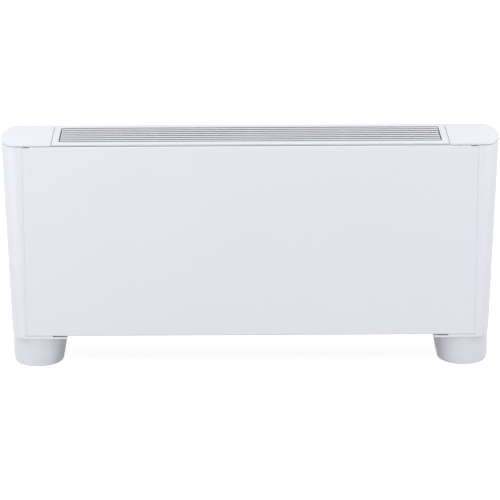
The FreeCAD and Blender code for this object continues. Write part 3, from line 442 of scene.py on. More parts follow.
def endStrip(name, fromX, low, high, leaning=True, shift=0.0, inset=0.0):
    v = endValues
    angle = math.atan2(v["lean"], v["height"]) if leaning else 0.0
    along = Vector((math.sin(angle), 0, math.cos(angle)))
    across = Vector((math.cos(angle), 0, -math.sin(angle)))
    tip = Vector((v["runEnd"] + v["reach"] + shift, 0, v["bottom"]))
    cornerY = v["halfDepth"] - v["corner"]
    nose = (v["reach"] ** 2 + cornerY ** 2 - v["corner"] ** 2) / (v["reach"] - v["corner"]) / 2
    noseTurn = math.atan2(cornerY, nose - v["reach"])
    cornerTurn = math.pi / 2 - noseTurn
    width = v["runEnd"] + shift - fromX + v["spare"]
    middle = tip - across * (v["reach"] + width / 2)
    strip = addSheet(name, (middle.x, inset - v["halfDepth"], middle.z),
                     (width, (v["height"] + v["spare"]) * 2),
                     Matrix((across, along, across.cross(along))).transposed().to_euler())
    for back, side, turn, steps in ((v["reach"], -1, cornerTurn, v["cornerSteps"]),
                                    (nose, 0, noseTurn * 2, v["noseSteps"]),
                                    (v["reach"], 1, cornerTurn, v["cornerSteps"])):
        place = tip - across * back
        pickFreeEdge(strip)
        bpy.ops.mesh.spin(steps=steps, angle=-turn, axis=along,
                          center=Vector((place.x, side * cornerY, place.z)) * mm)
        closeMesh()
    pickFreeEdge(strip)
    bpy.ops.mesh.extrude_region_move(TRANSFORM_OT_translate={"value": across * -width * mm})
    closeMesh()
    sliceAt(strip, ((0, 0, low), (0, 0, -1)), ((0, 0, high), (0, 0, 1)), ((fromX, 0, 0), (-1, 0, 0)),
            trim=True)
    return mendMesh(strip)


def endPrism(name, fromX, low, high, shift=0.0, inset=0.0):
    prism = endStrip(name, fromX, low, high, leaning=False, shift=shift, inset=inset)
    return closePrism(prism, low, high, lambda spot: abs(spot.x - fromX) < near)


coverValues = dict(
    seam=562.15,
    bottom=87.0, top=575.5,
    wall=2.5,
    edge=0.5,
    tongue=(545.0, 565.0),  # flat tongues behind the front panel and before the back plate
    tongueHeight=(90.0, 569.0),
    tongueFront=-98.7, tongueBack=98.5,
    bands=(((334.5, 337.0), 8.0), ((87.0, 89.5), 12.0)),  # levels and depth of rib and flange
    bandGap=(0.2, 0.02),
    pad=((617.3, -6.0, 573.0), (619.6, 6.0, 576.7)),
)


def makeEndCovers():
    v = coverValues
    shell = giveWall(endStrip("endCoverRight", v["seam"], v["bottom"], v["top"]), v["wall"])
    pieces = [roundOff(shell, v["edge"], 3)]
    for start in (v["tongueFront"], v["tongueBack"] - v["wall"]):
        tongue = addBlock("tongue", (v["tongue"][0], start, v["tongueHeight"][0]),
                          (v["tongue"][1], start + v["wall"], v["tongueHeight"][1]))
        pieces.append(roundOff(tongue, v["edge"]))
    gapX, gapZ = v["bandGap"]
    for (low, high), depth in v["bands"]:
        band = endStrip("band", v["seam"] + gapX, low + gapZ, high, inset=v["wall"] / 2)
        pieces.append(giveWall(band, depth))
    pieces.append(roundOff(addBlock("pad", *v["pad"]), v["edge"]))
    finishPair(joinAll("endCoverRight", pieces), "endCoverLeft", "end_cover")


# Front panel: a folded sheet, open behind and at both ends

panelValues = dict(
    half=561.85,
    front=-100.0,
    returnDepth=11.0,
    returnHalf=544.7,
    bottom=87.0, top=575.5,
    bend=3.0,
    bendSteps=6,
    sheet=1.0,
    notch=(543.0, 560.0),  # finger notch under each flap
    notchDepth=2.6,
    notchCorner=2.0,
    cup=((541.5, -99.2, 570.2), (561.5, -91.0, 575.4)),  # moulded cup behind the notch
    cupWall=1.4,
    edge=0.25,
)


def makeFrontPanel():
    v = panelValues
    front, top, corner, wall = v["front"], v["top"], v["notchCorner"], v["cupWall"]
    back = front + v["returnDepth"]
    panel = addBlock("frontPanel", (-v["half"], front, v["bottom"]), (v["half"], back, top))
    openAt(panel, "FACE", lambda spot, normal: normal.y > 0.9 or abs(normal.x) > 0.9)
    bpy.ops.mesh.delete(type="FACE")
    closeMesh()
    bevelEdges(panel, lambda a, b: max(a.y, b.y) < front + close and abs(a.z - b.z) < close,
               v["bend"], v["bendSteps"])
    giveWall(panel, v["sheet"])
    (start, end), (low, high), cups = v["notch"], v["cup"], []
    for side in (-1, 1):
        notch = sideBlock("notch", side, (start, front - 2, top - v["notchDepth"]),
                          (end, front + 5, top + 3))
        bevelEdges(notch, lambda a, b: max(a.z, b.z) < top and abs(a.x - b.x) < close, corner, 4)
        cutAway(panel, notch)
        for level in (top, v["bottom"]):
            cutAway(panel, sideBlock("relief", side, (v["returnHalf"], front + v["bend"], level - 2),
                                     (v["half"] + 1, back + 1, level + 2)))
        cup = sideBlock("cup", side, low, high)
        room = sideBlock("room", side, (low[0] + wall, low[1] - 2, low[2] + wall),
                         (high[0] - wall, high[1] - wall, high[2] + 2))
        bevelEdges(room, lambda a, b: min(a.y, b.y) > high[1] - wall - close or
                   max(a.z, b.z) < low[2] + wall + close, corner, 4)
        cups.append(roundOff(cutAway(cup, room), v["edge"], angle=50))
    roundOff(panel, v["edge"], angle=50)
    evenShading(finishPiece(joinAll("frontPanel", [panel] + cups), "front_panel"))


# Top panel: a lid with an overhanging lip along the front, and the opening for the grille

lidValues = dict(
    half=490.4,
    halfDepth=100.0,
    bottom=577.0, top=582.0,
    edge=1.2,
    lip=1.3,  # thickness of the lip that overhangs the front
    overhang=2.4,
    rim=2.5,
    skin=2.5,
    opening=(473.8, 74.0),
    openingCorner=6.0,
    openingEdge=0.4,
    seat=(482.2, 83.2, 580.6),  # room for the grille's frame under the lid
    webBottom=571.2,
    webFront=-88.7, webBack=97.0,
    webOverlap=0.02,
    smallEdge=0.3,
)


def makeTopPanel():
    v = lidValues
    half, depth, bottom, top, wall = v["half"], v["halfDepth"], v["bottom"], v["top"], v["rim"]
    openX, openY = v["opening"]
    seatX, seatY, seatTop = v["seat"]
    lid = centredBlock("topPanel", half, depth, bottom, top)
    opening = centredBlock("opening", openX, openY, bottom - 9, top + 9)
    bevelEdges(opening, lambda a, b: abs(a.z - b.z) > 1, v["openingCorner"], 8)
    cutAway(lid, opening)
    bevelEdges(lid, lambda a, b: min(a.z, b.z) > top - close and max(abs(a.y), abs(b.y)) > openY + 5,
               v["edge"], 4)
    bevelEdges(lid, lambda a, b: min(a.z, b.z) > top - close and max(abs(a.y), abs(b.y)) < openY + 5
               and max(abs(a.x), abs(b.x)) < openX + 5, v["openingEdge"])
    cutAway(lid, addBlock("undercut", (-half - 1, -depth - 1, bottom - 1),
                          (half + 1, v["overhang"] - depth, top - v["lip"])))
    cutAway(lid, centredBlock("seat", seatX, seatY, bottom - 1, seatTop))
    for front, back in ((v["overhang"] - depth + wall, -seatY - wall), (seatY + wall, depth - wall)):
        cutAway(lid, addBlock("pocket", (wall - half, front, bottom - 1),
                              (half - wall, back, top - v["skin"])))
    pieces = [roundOff(lid, v["smallEdge"], angle=60)]
    for side in (-1, 1):
        web = sideBlock("web", side, (half - wall, v["webFront"], v["webBottom"]),
                        (half - v["webOverlap"], v["webBack"], top - v["skin"]))
        pieces.append(roundOff(web, v["smallEdge"]))
    evenShading(finishPiece(joinAll("topPanel", pieces), "top_panel"))


# Outlet grille: seven long bars with undercut sides on cross ribs, in a frame under the lid

grilleValues = dict(
    half=471.2,
    barTop=581.4,
    bottom=571.2,
    bars=7,
    width=9.6,
    edgeHeight=0.4,  # upright part of a bar's side
    neckHeight=2.8,  # from the top down to the narrow stem
    neckWidth=2.4,
    rootWidth=2.0,
    crown=0.2,
    depth=148.0,
    frameHalf=(482.0, 83.0),
    frameInner=(476.5, 77.5),
    frameTop=580.3,
    frameCorner=9.0,
    ribs=3,  # between the two end ribs
    endRib=470.0,
    ribWidth=2.5,
    ribHeight=5.0,
    edge=0.4,
)


def makeGrille():
    v = grilleValues
    top, bottom, width = v["barTop"], v["bottom"], v["width"]
    first = centredBlock("bar", v["half"], width / 2, bottom, top)
    neck = top - v["neckHeight"]
    sliceAt(first, ((0, 0, top - v["edgeHeight"]), (0, 0, 1)), ((0, 0, neck), (0, 0, 1)))
    for level, narrow in ((neck, v["neckWidth"]), (bottom, v["rootWidth"])):
        openAt(first, "VERT", lambda spot: abs(spot.z - level) < near)
        bpy.ops.transform.resize(value=(1, narrow / width, 1), center_override=(0, 0, 0))
        closeMesh()
    bevelEdges(first, lambda a, b: min(a.z, b.z) > top - close, v["crown"])
    slot = (v["depth"] - v["bars"] * width) / (v["bars"] + 1)
    bars = [copyOf(first, "bar", (0, (slot + width) * (number + 1) - (v["depth"] + width) / 2, 0))
            for number in range(v["bars"])]
    bpy.data.objects.remove(first)
    rings = []
    for half, low, high, corner in ((v["frameHalf"], bottom, v["frameTop"], v["frameCorner"]),
                                    (v["frameInner"], bottom - 5, v["frameTop"] + 5, v["frameCorner"] / 2)):
        rings.append(centredBlock("ring", *half, low, high))
        bevelEdges(rings[-1], lambda a, b: abs(a.z - b.z) > 1, corner, 6)
    pieces = [cutAway(*rings)] + bars
    gap = 2 * v["endRib"] / (v["ribs"] + 1)
    for number in range(v["ribs"] + 2):
        x = gap * number - v["endRib"]
        ribY = v["frameInner"][1] + 1
        rib = addBlock("rib", (x - v["ribWidth"] / 2, -ribY, bottom),
                       (x + v["ribWidth"] / 2, ribY, bottom + v["ribHeight"]))
        pieces.append(roundOff(rib, v["edge"]))
    evenShading(finishPiece(joinAll("outletGrille", pieces), "outlet_grille"))


# Flaps: the ends of the top, each turning about a half round rear edge

flapValues = dict(
    seam=491.6,
    shift=16.0,
    bottom=577.0, top=582.0,
    wall=2.5,
    edge=1.5,
    rear=99.9,  # edges behind this belong to the rounded rear
    rearRadius=2.3,
    barrel=95.0,
    ears=((497.5, 500.5), (537.5, 540.5)),
    earFront=93.0, earBack=103.0,
    smallEdge=0.25,
)


def makeFlaps():
    v = flapValues
    bottom, top, barrel = v["bottom"], v["top"], v["barrel"]
    flap = endPrism("flapRight", v["seam"], bottom, top, v["shift"])
    bevelEdges(flap, lambda a, b: min(a.z, b.z) > top - near and min(a.y, b.y) < v["rear"], v["edge"], 4)
    bevelEdges(flap, lambda a, b: min(a.y, b.y) > v["rear"] and abs(a.z - b.z) < near and
               abs(a.x - b.x) > 20, v["rearRadius"], 5)
    pocket = endPrism("pocket", v["seam"] + v["wall"], bottom - 5, top - v["wall"], v["shift"], v["wall"])
    sliceAt(pocket, ((0, barrel, 0), (0, 1, 0)), trim=True)
    closeLoop(pocket, lambda spot: abs(spot.y - barrel) < near)
    cutAway(flap, mendMesh(pocket))
    for start, end in v["ears"]:
        cutAway(flap, addBlock("ear", (start, v["earFront"], bottom - 3), (end, v["earBack"], top + 3)))
    finishPair(roundOff(flap, v["smallEdge"], angle=70), "flapLeft", "flap")


# Feet: a hollow shoe with a round nose, under a thin flange that follows the casing

footValues = dict(
    middle=537.5,
    noseY=0.0,  # the round nose starts in front of this
    sole=(62.0, 78.0),  # half width and length of the nose on the floor
    rim=(80.0, 98.3),  # the same under the casing, before the sides are cut flat
    inner=473.5,
    back=92.0,
    flare=3.2,  # inner wall, towards the back
    top=87.0,
    wall=3.0,
    inset=2.5,  # from the casing's outline
    lipStart=460.0,
    lipBottom=80.0,
    lipInset=0.5,
    stepEnd=495.5,
    stepDrop=3.0,
    boss=(483.8, -80.0),
    bossRadius=4.4,
    bossOverlap=0.3,
    boreRadius=2.5,
    noseSteps=40,
    edge=0.8,
)


def footPrism(name, inset, back, low, high):
    v = footValues
    middle, noseY = v["middle"], v["noseY"]
    half, length = v["sole"][0] - inset, back - noseY
    strip = addSheet(name, (middle - half, noseY + length / 2, (low + high) / 2), (high - low, length),
                     (0, math.pi / 2, 0))
    openAt(strip, "EDGE", lambda a, b: max(a.y, b.y) < noseY + close)
    bpy.ops.mesh.spin(steps=v["noseSteps"], angle=-math.pi, axis=(0, 0, 1),
                      center=Vector((middle, noseY, 0)) * mm)
    closeMesh()
    openAt(strip, "EDGE", lambda a, b: min(a.x, b.x) > middle + half - close)
    bpy.ops.mesh.extrude_region_move(TRANSFORM_OT_translate={"value": (0, length * mm, 0)})
    closeMesh()
    prism = closePrism(strip, low, high, lambda spot: spot.y > back - close)
    # wider and longer towards the casing
    for level in (low, high):
        wide, long = [(a + (b - a) * level / v["top"] - inset) / half for a, b in zip(v["sole"], v["rim"])]
        for front, size in ((back + 1, (wide, 1, 1)), (noseY - near, (1, long, 1))):
            openAt(prism, "VERT", lambda spot: abs(spot.z - level) < near and spot.y < front)
            bpy.ops.transform.resize(value=size, center_override=Vector((middle, noseY, level)) * mm)
            closeMesh()
    # the inner side is flat
    side = Vector((noseY - v["back"], -v["flare"], 0)).normalized()
    start = Vector((v["inner"] + inset, noseY, 0))
    sliceAt(prism, (start, side), trim=True)
    closeLoop(prism, lambda spot: abs((spot - start).dot(side)) < near)
    return mendMesh(prism)


def makeFeet():
    v = footValues
    top, start, inset, wall = v["top"], v["lipStart"], v["inset"], v["wall"]
    shoe = footPrism("footRight", 0, v["back"], 0, top)
    joinOn(shoe, endPrism("outline", start, -5, top + 5, inset=inset), "INTERSECT")
    joinOn(shoe, endPrism("flange", start, v["lipBottom"], top, inset=v["lipInset"]))
    hollow = footPrism("hollow", wall, v["back"] + 20, -3, top + 3)
    joinOn(hollow, endPrism("outline", start - 5, -9, top + 9, inset=inset + wall), "INTERSECT")
    cutAway(shoe, hollow)
    cutAway(shoe, addBlock("step", (start - 5, -110, top - v["stepDrop"]), (v["stepEnd"], 110, top + 5)))
    roundOff(shoe, v["edge"], 3, 40)
    x, y = v["boss"]
    boss = addRod("boss", v["bossRadius"], (x, y, v["lipBottom"] - v["bossOverlap"]), (x, y, top))
    roundOff(boss, v["edge"] / 2, angle=60)
    cutAway(boss, addRod("bore", v["boreRadius"], (x, y, 70), (x, y, 95), 24))
    finishPair(joinAll("footRight", [shoe, boss]), "footLeft", "foot")


makeFrontPanel()
makeEndCovers()
makeTopPanel()
makeGrille()
makeFlaps()
makeFeet()
print("the outer casing is made")


# Pan-head screw, modelled once and copied wherever a screw shows

screwValues = dict(
    head=4.2,
    headHeight=2.4,
    dome=1.5,
    slot=(3.6, 0.9, 1.1),
    shank=2.3,
    shankLength=9.0,
    tip=1.0,
    groups={
        # way the heads stand out, how deep they sit, CAD nodes replaced, and the places
        "footScrews": ((0, 0, -1), 0, ["foot_screws"], [(x, -80.0, 80.0) for x in (-483.8, 483.8)]),
        "backScrews": ((0, 1, 0), 2.2, [], [(x, 100.0, z) for x in (-553.0, -180.0, 180.0, 553.0)
                                            for z in (100.0, 562.0)] +
                       [(x, 100.0, 330.0) for x in (-553.0, 553.0)]),
        "boxScrews": ((1, 0, 0), 2.2, [], [(531.0, y, z) for y in (-52.0, 42.0) for z in (168.0, 322.0)]),
    },
)


def makeScrew():
    # stands on the origin with its head's underside at zero height and its shank below
    v = screwValues
    top, end = v["headHeight"], -v["shankLength"]
    head = addRod("screw", v["head"], (0, 0, 0), (0, 0, top))
    bevelEdges(head, lambda a, b: min(a.z, b.z) > top - close, v["dome"], 4)
    length, width, depth = v["slot"]
    for x, y in ((length / 2, width / 2), (width / 2, length / 2)):
        cutAway(head, centredBlock("slot", x, y, top - depth, top + 1))
    shank = addRod("shank", v["shank"], (0, 0, end), (0, 0, 0.2), 20)
    bevelEdges(shank, lambda a, b: max(a.z, b.z) < end + close, v["tip"], 2)
    return joinAll("screw", [head, shank])


def placedScrew(spot, way):
    # the head's underside at the spot, the head standing out along the way
    twin = copyOf(screwMaster, "screwPart")
    twin.rotation_euler = Vector(way).to_track_quat("Z", "Y").to_euler()
    twin.location = Vector(spot) * mm
    return settle(twin, "screwPart")


def makeScrews():
    for name, (way, depth, nodes, spots) in screwValues["groups"].items():
        screws = [placedScrew(Vector(spot) - Vector(way) * depth, way) for spot in spots]
        finishPiece(joinAll(name, screws), *nodes, slotName="plain_steel")


# Softer edges for plates and mouldings that keep the shape of their solid

softValues = {
    # node: edge radius
    "control_panel": 1.6, "thermostat_body": 0.8, "speed_switch_body": 0.8, "filter_frame": 0.8,
    "auxiliary_pan": 0.8, "foot_bracket_left": 0.5, "foot_bracket_right": 0.5, "foot_pads": 0.6,
    "motor_hangers": 0.5, "motor_rings": 0.8, "hinge_brackets": 0.3, "terminal_block": 0.6,
    "electrical_cover": 0.35, "drain_pan": 0.4, "supply_socket": 0.9, "return_socket": 0.9,
    "cable_gland": 0.7, "air_vent_valve": 0.5, "fan_housing_left": 0.4, "fan_housing_right": 0.4,
    "plenum_insulation": 1.2,
}


def softenPlates():
    for node, width in softValues.items():
        piece = copyOf(frame["nodes"][node], camel(node) + "Piece")
        openMesh(piece)
        bpy.ops.mesh.remove_doubles(threshold=0.005 * mm)
        bpy.ops.mesh.dissolve_limited(angle_limit=math.radians(1.0))
        closeMesh()
        evenShading(finishPiece(roundOff(piece, width, angle=40), node))


# Knobs: a fluted dial with a dished face, a pointer ridge and a stem; marks on the panel round them

knobValues = dict(
    # node: place from front to back, and the angles of its marks
    places={"thermostat_knob": (-35.0, range(-225, 46, 27)),
            "speed_knob": (35.0, range(-135, -44, 30))},
    x=535.5,
    bottom=546.3, top=559.3,
    radius=16.0,
    sides=48,
    crown=1.6,
    flute=0.6,
    fluteEdge=0.25,
    dish=1.0,
    dishInset=3.4,
    dishSlope=0.6,
    edge=0.3,
    pointer=((-1.0, -15.6, 556.5), (1.0, -3.0, 560.2)),
    pointerEdge=0.5,
    stem=(3.0, 531.3),
    markRadius=19.2,
    mark=(2.6, 0.7, 0.25),
    endMark=1.5,  # how much longer the marks at the ends of the travel are
    markEdge=0.08,
    panelTop=545.0,
)


def everySecond(along, across, sides):
    # true for every second face round a turned piece
    return math.floor(math.atan2(across, along) / (2 * math.pi / sides)) % 2 == 0


def makeKnob(name, y):
    v = knobValues
    x, top = v["x"], v["top"]
    dial = addRod(name, v["radius"], (x, y, v["bottom"]), (x, y, top), v["sides"])
    insetFaces(dial, lambda spot, normal: abs(normal.z) < 0.1 and
               everySecond(spot.x - x, spot.y - y, v["sides"]), (v["fluteEdge"], -v["flute"]), single=True)
    insetFaces(dial, lambda spot, normal: normal.z > 0.9 and spot.z > top - close,
               (v["crown"], 0), (v["dishInset"], 0), (v["dishSlope"], -v["dish"]))
    roundOff(dial, v["edge"], angle=40)
    pointer = addBlock("pointer", *[(x + a, y + b, c) for a, b, c in v["pointer"]])
    roundOff(pointer, v["pointerEdge"], 3)
    radius, end = v["stem"]
    stem = addRod("stem", radius, (x, y, end), (x, y, v["bottom"] + 1), 24)
    bevelEdges(stem, lambda a, b: max(a.z, b.z) < end + close, radius / 5, 2)
    return joinAll(name, [dial, pointer, stem])


def makeMarks(name, y, angles):
    # short raised marks on the panel, long ones at both ends of the travel
    v = knobValues
    start, (length, width, height) = v["markRadius"], v["mark"]
    marks = []
    for angle in angles:
        longer = v["endMark"] if angle in (angles[0], angles[-1]) else 1.0
        mark = addBlock("mark", (start, -width / 2, 0), (start + length * longer, width / 2, height))
        roundOff(mark, v["markEdge"], 1)
        mark.rotation_euler.z = math.radians(angle)
        mark.location = Vector((v["x"], y, v["panelTop"])) * mm
        marks.append(settle(mark, "mark"))
    return joinAll(name, marks)


def makeControls():
    for node, (y, angles) in knobValues["places"].items():
        evenShading(finishPiece(makeKnob(camel(node) + "Piece", y), node))
        finishPiece(makeMarks(camel(node) + "Marks", y, angles), slotName="white_plastic")


# Water coil, drawn upright and then leaned back

coilValues = dict(
    half=435.0,
    height=199.77,
    thick=44.0,
    lean=30.0,
    middle=448.1,
    fins=300,
    fin=0.25,
    waves=10,
    waveDepth=0.5,
    tube=4.8,
    tubeEdge=0.4,
    rowGap=22.0,
    levels=5,
    plateEnd=436.2,
    bendSteps=12,
    bendCollar=(0.9, 2.4, 0.5),  # wider than the tube by, length, edge
    stubCollar=(1.0, 3.0, 0.6),
    stubCollarStart=7.4,
    headerX=-454.2,
    header=8.0,
    headerDome=4.0,
    headerOverhang=12.0,
    pipeEnd=-501.2,
    ring=(1.6, 5.0, 0.9),
)


def leanBack(piece):
    piece.rotation_euler.x = -math.radians(coilValues["lean"])
    piece.location.z = coilValues["middle"] * mm
    return settle(piece, piece.name)


def tubeLevels():
    v = coilValues
    pitch = (v["height"] - v["rowGap"]) / (v["levels"] - 1)
    return [(number - (v["levels"] - 1) / 2) * pitch for number in range(v["levels"])]


def addCollar(radius, sizes, x, spot, sides=24, segments=2):
    wider, length, edge = sizes
    return roundOff(lyingRod("collar", radius + wider, x, x + length, spot, sides), edge, segments)


def makeFins():
    # one corrugated sheet, then a row of copies
    v = coilValues
    halfHeight, halfThick, start = v["height"] / 2, v["thick"] / 2, -v["half"]
    step = v["thick"] / v["waves"]
    fin = addBlock("coilFins", (start, -halfThick, -halfHeight), (start + v["fin"], halfThick, halfHeight))
    sliceAt(fin, *[((0, step * number - halfThick, 0), (0, 1, 0)) for number in range(1, v["waves"])])
    openAt(fin, "VERT", lambda spot: round((spot.y + halfThick) / step) % 2 == 1)
    bpy.ops.transform.translate(value=(v["waveDepth"] * mm, 0, 0))
    closeMesh()
    pitch = (v["half"] * 2 - v["fin"] - v["waveDepth"]) / (v["fins"] - 1)
    applyModifier(fin, "ARRAY", count=v["fins"], use_relative_offset=False, use_constant_offset=True,
                  constant_offset_displace=(pitch * mm, 0, 0))
    finishPiece(leanBack(fin), "coil_fins")
    tubes = []
    for z in tubeLevels():
        for y in (-v["rowGap"] / 2, v["rowGap"] / 2):
            tube = lyingRod("tube", v["tube"], -v["plateEnd"], v["plateEnd"], (y, z), 20)
            tubes.append(roundOff(tube, v["tubeEdge"], 1))
    finishPiece(leanBack(joinAll("coilTubes", tubes)), "coil_fins", slotName="copper")


def makeReturnBends():
    v = coilValues
    end, row = v["plateEnd"], v["rowGap"] / 2
    bpy.ops.mesh.primitive_circle_add(vertices=20, radius=v["tube"] * mm, fill_type="NOTHING",
                                      location=Vector((end, -row, 0)) * mm, rotation=(0, math.pi / 2, 0))
    bend = settle(bpy.context.object, "bend")
    openMesh(bend, "EDGE")
    bpy.ops.mesh.spin(steps=v["bendSteps"], angle=-math.pi, center=(end * mm, 0, 0), axis=(0, 0, 1))
    closeMesh()
    collars = [addCollar(v["tube"], v["bendCollar"], end, (y, 0)) for y in (-row, row)]
    master = joinAll("bend", [mendMesh(bend)] + collars)
    bends = [copyOf(master, "bend", (0, 0, z)) for z in tubeLevels()]
    bpy.data.objects.remove(master)
    finishPiece(leanBack(joinAll("returnBends", bends)), "return_bends")


def makeHeader(node, row):
    # stack pipe with domed ends, five stubs into the coil and the pipe through the side plate
    v = coilValues
    x, y = v["headerX"], -row * v["rowGap"] / 2
    half = v["height"] / 2 - v["headerOverhang"]
    stack = addRod("stack", v["header"], (x, y, -half), (x, y, half))
    pieces = [bevelEdges(stack, lambda a, b: abs(a.z - b.z) < close, v["headerDome"], 4)]
    for z in tubeLevels():
        pieces.append(lyingRod("stub", v["tube"], x, -v["plateEnd"], (y, z), 20))
        pieces.append(addCollar(v["tube"], v["stubCollar"], x + v["stubCollarStart"], (y, z)))
    body = leanBack(joinAll("body", pieces))
    turn = math.radians(v["lean"])
    level = row * (half - v["headerOverhang"])
    end = (y * math.cos(turn) + level * math.sin(turn),
           v["middle"] - y * math.sin(turn) + level * math.cos(turn))
    pipe = lyingRod("pipe", v["header"], v["pipeEnd"], x, end)
    ring = addCollar(v["header"], v["ring"], v["pipeEnd"], end, 32, 3)
    finishPiece(joinAll(camel(node) + "Piece", [body, pipe, ring]), node)


# Blower wheels: curved blades between two hoops, on a middle disc with its hub

wheelValues = dict(
    axis=(-10.0, 205.0),
    start=110.0, end=320.0,
    radius=60.0,
    root=48.0,
    blades=36,
    bladeCentre=(49.0, 9.5),
    bladeTurn=80.0,
    bladeSteps=4,
    bladeLip=1.0,
    blade=0.8,
    hoop=4.0,
    hoopGap=1.5,  # between the hoop's bore and the blades' roots
    hoopEdge=0.7,
    disc=2.0,
    discGap=0.4,
    dish=((14.0, 0), (14.0, 0), (4.0, 2.5)),
    hub=14.0,
    hubHalf=11.0,
    hubEdge=1.2,
    bore=6.02,
)


def makeBlade():
    v = wheelValues
    axisY, axisZ = v["axis"]
    rootY, lip = axisY + v["root"], v["bladeLip"]
    blade = addSheet("blade", ((v["start"] + v["end"]) / 2, rootY - lip / 2, axisZ),
                     (v["end"] - v["start"] - v["hoop"], lip))
    openAt(blade, "EDGE", lambda a, b: max(a.y, b.y) < rootY - lip + close)
    bpy.ops.mesh.delete(type="EDGE")
    closeMesh()
    openMesh(blade, "EDGE")
    centreY, centreZ = v["bladeCentre"]
    bpy.ops.mesh.spin(steps=v["bladeSteps"], angle=-math.radians(v["bladeTurn"]), axis=(1, 0, 0),
                      center=Vector((0, axisY + centreY, axisZ + centreZ)) * mm)
    closeMesh()
    return applyModifier(mendMesh(blade), "SOLIDIFY", thickness=v["blade"] * mm, offset=0)


def makeWheels():
    v = wheelValues
    axis, start, end = v["axis"], v["start"], v["end"]
    middle = (start + end) / 2
    centre = Vector((0, *axis)) * mm
    blade = makeBlade()
    pieces = []
    for number in range(v["blades"]):
        twin = copyOf(blade, "blade")
        turn = Matrix.Rotation(2 * math.pi * number / v["blades"], 4, "X")
        twin.matrix_world = Matrix.Translation(centre) @ turn @ Matrix.Translation(-centre)
        pieces.append(settle(twin, "blade"))
    bpy.data.objects.remove(blade)
    for x in (start, end - v["hoop"]):
        hoop = lyingRod("hoop", v["radius"], x, x + v["hoop"], axis, 72)
        cutAway(hoop, lyingRod("bore", v["root"] + v["hoopGap"], x - 2, x + v["hoop"] + 2, axis, 72))
        pieces.append(roundOff(hoop, v["hoopEdge"], angle=50))
    disc = lyingRod("disc", v["radius"] - v["discGap"], middle - v["disc"] / 2, middle + v["disc"] / 2,
                    axis, 72)
    insetFaces(disc, lambda spot, normal: abs(normal.x) > 0.9, *v["dish"], single=True)
    hub = lyingRod("hub", v["hub"], middle - v["hubHalf"], middle + v["hubHalf"], axis, 40)
    wheel = joinAll("fanWheelRight", pieces + [disc, roundOff(hub, v["hubEdge"], 3)])
    cutAway(wheel, lyingRod("bore", v["bore"], start - 3, end + 3, axis))
    finishPair(wheel, "fanWheelLeft", "fan_wheel", even=False)


mouthValues = dict(
    faces=((93.2, -1), (336.8, 1)),  # place along x and the way each mouth opens
    radius=50.3,
    lip=3.6,
    steps=(64, 20),
    depth=2.0,
)


def makeInlets():
    # flared mouth round each inlet of the two housings
    v = mouthValues
    mouths = []
    for x, way in v["faces"]:
        bpy.ops.mesh.primitive_torus_add(major_radius=v["radius"] * mm, minor_radius=v["lip"] * mm,
                                         major_segments=v["steps"][0], minor_segments=v["steps"][1],
                                         location=Vector((x, *wheelValues["axis"])) * mm,
                                         rotation=(0, math.pi / 2, 0))
        mouth = settle(bpy.context.object, "mouth")
        mouths.append(sliceAt(mouth, ((x - way * v["depth"], 0, 0), (-way, 0, 0)), trim=True))
    right = joinAll("inletMouthsRight", mouths)
    for piece in (right, mirroredCopy(right, "inletMouthsLeft")):
        finishPiece(piece, slotName="galvanised_steel")


motorValues = dict(
    radius=42.0,
    half=32.0,
    sides=48,
    crown=7.0,
    boss=15.0,
    bossEnd=45.0,
    bossEdge=1.5,
    rib=(0.6, 1.2),  # edge and height of the ribs round the can
    bore=6.03,
)


def makeMotor():
    v = motorValues
    axis, half = wheelValues["axis"], v["half"]
    can = lyingRod("motorBody", v["radius"] - v["rib"][1], -half, half, axis, v["sides"])
    bevelEdges(can, lambda a, b: abs(a.x - b.x) < close, v["crown"], 5)
    insetFaces(can, lambda spot, normal: abs(normal.x) < 0.05 and abs(spot.x) < 5 and
               everySecond(spot.y - axis[0], spot.z - axis[1], v["sides"]), v["rib"], single=True)
    boss = lyingRod("boss", v["boss"], -v["bossEnd"], v["bossEnd"], axis, 40)
    motor = joinAll("motorBody", [can, roundOff(boss, v["bossEdge"], 3)])
    finishPiece(cutAway(motor, lyingRod("bore", v["bore"], -60, 60, axis)), "motor_body")


# Capacitor: a rounded case with a crimped foot and two terminals; beside it the terminal screws

capacitorValues = dict(
    case=((478.7, -23.0, 240.0), (504.7, 23.0, 274.0)),
    corner=7.0,
    crimp=((1.6, 0), (0.6, -1.2)),
    edge=0.5,
    tab=((503.0, -0.4, 253.0), (511.0, 0.4, 259.3)),
    tabs=(-9.0, 9.0),
    tabEdge=0.3,
    screws=[(498.2, y, 202.0) for y in (-37.5, -22.5, -7.5, 7.5, 22.5, 37.5)],
)


def makeCapacitor():
    v = capacitorValues
    case = addBlock("capacitorCase", *v["case"])
    bevelEdges(case, lambda a, b: abs(a.x - b.x) > 1, v["corner"], 6)
    insetFaces(case, lambda spot, normal: normal.x > 0.9, *v["crimp"])
    finishPiece(roundOff(case, v["edge"]), "capacitor")
    tabs = [roundOff(addBlock("tab", *[(x, y + shift, z) for x, y, z in v["tab"]]), v["tabEdge"])
            for shift in v["tabs"]]
    tabs += [placedScrew(spot, (1, 0, 0)) for spot in v["screws"]]
    finishPiece(joinAll("terminalScrews", tabs), slotName="brass")


# Filter cloth: a sheet pillowed between the bars of its frame

clothValues = dict(
    half=(448.3, 72.3),
    bottom=99.1, top=100.4,
    cuts=36,
    bays=6,
    rows=6,
    depth=0.5,
)


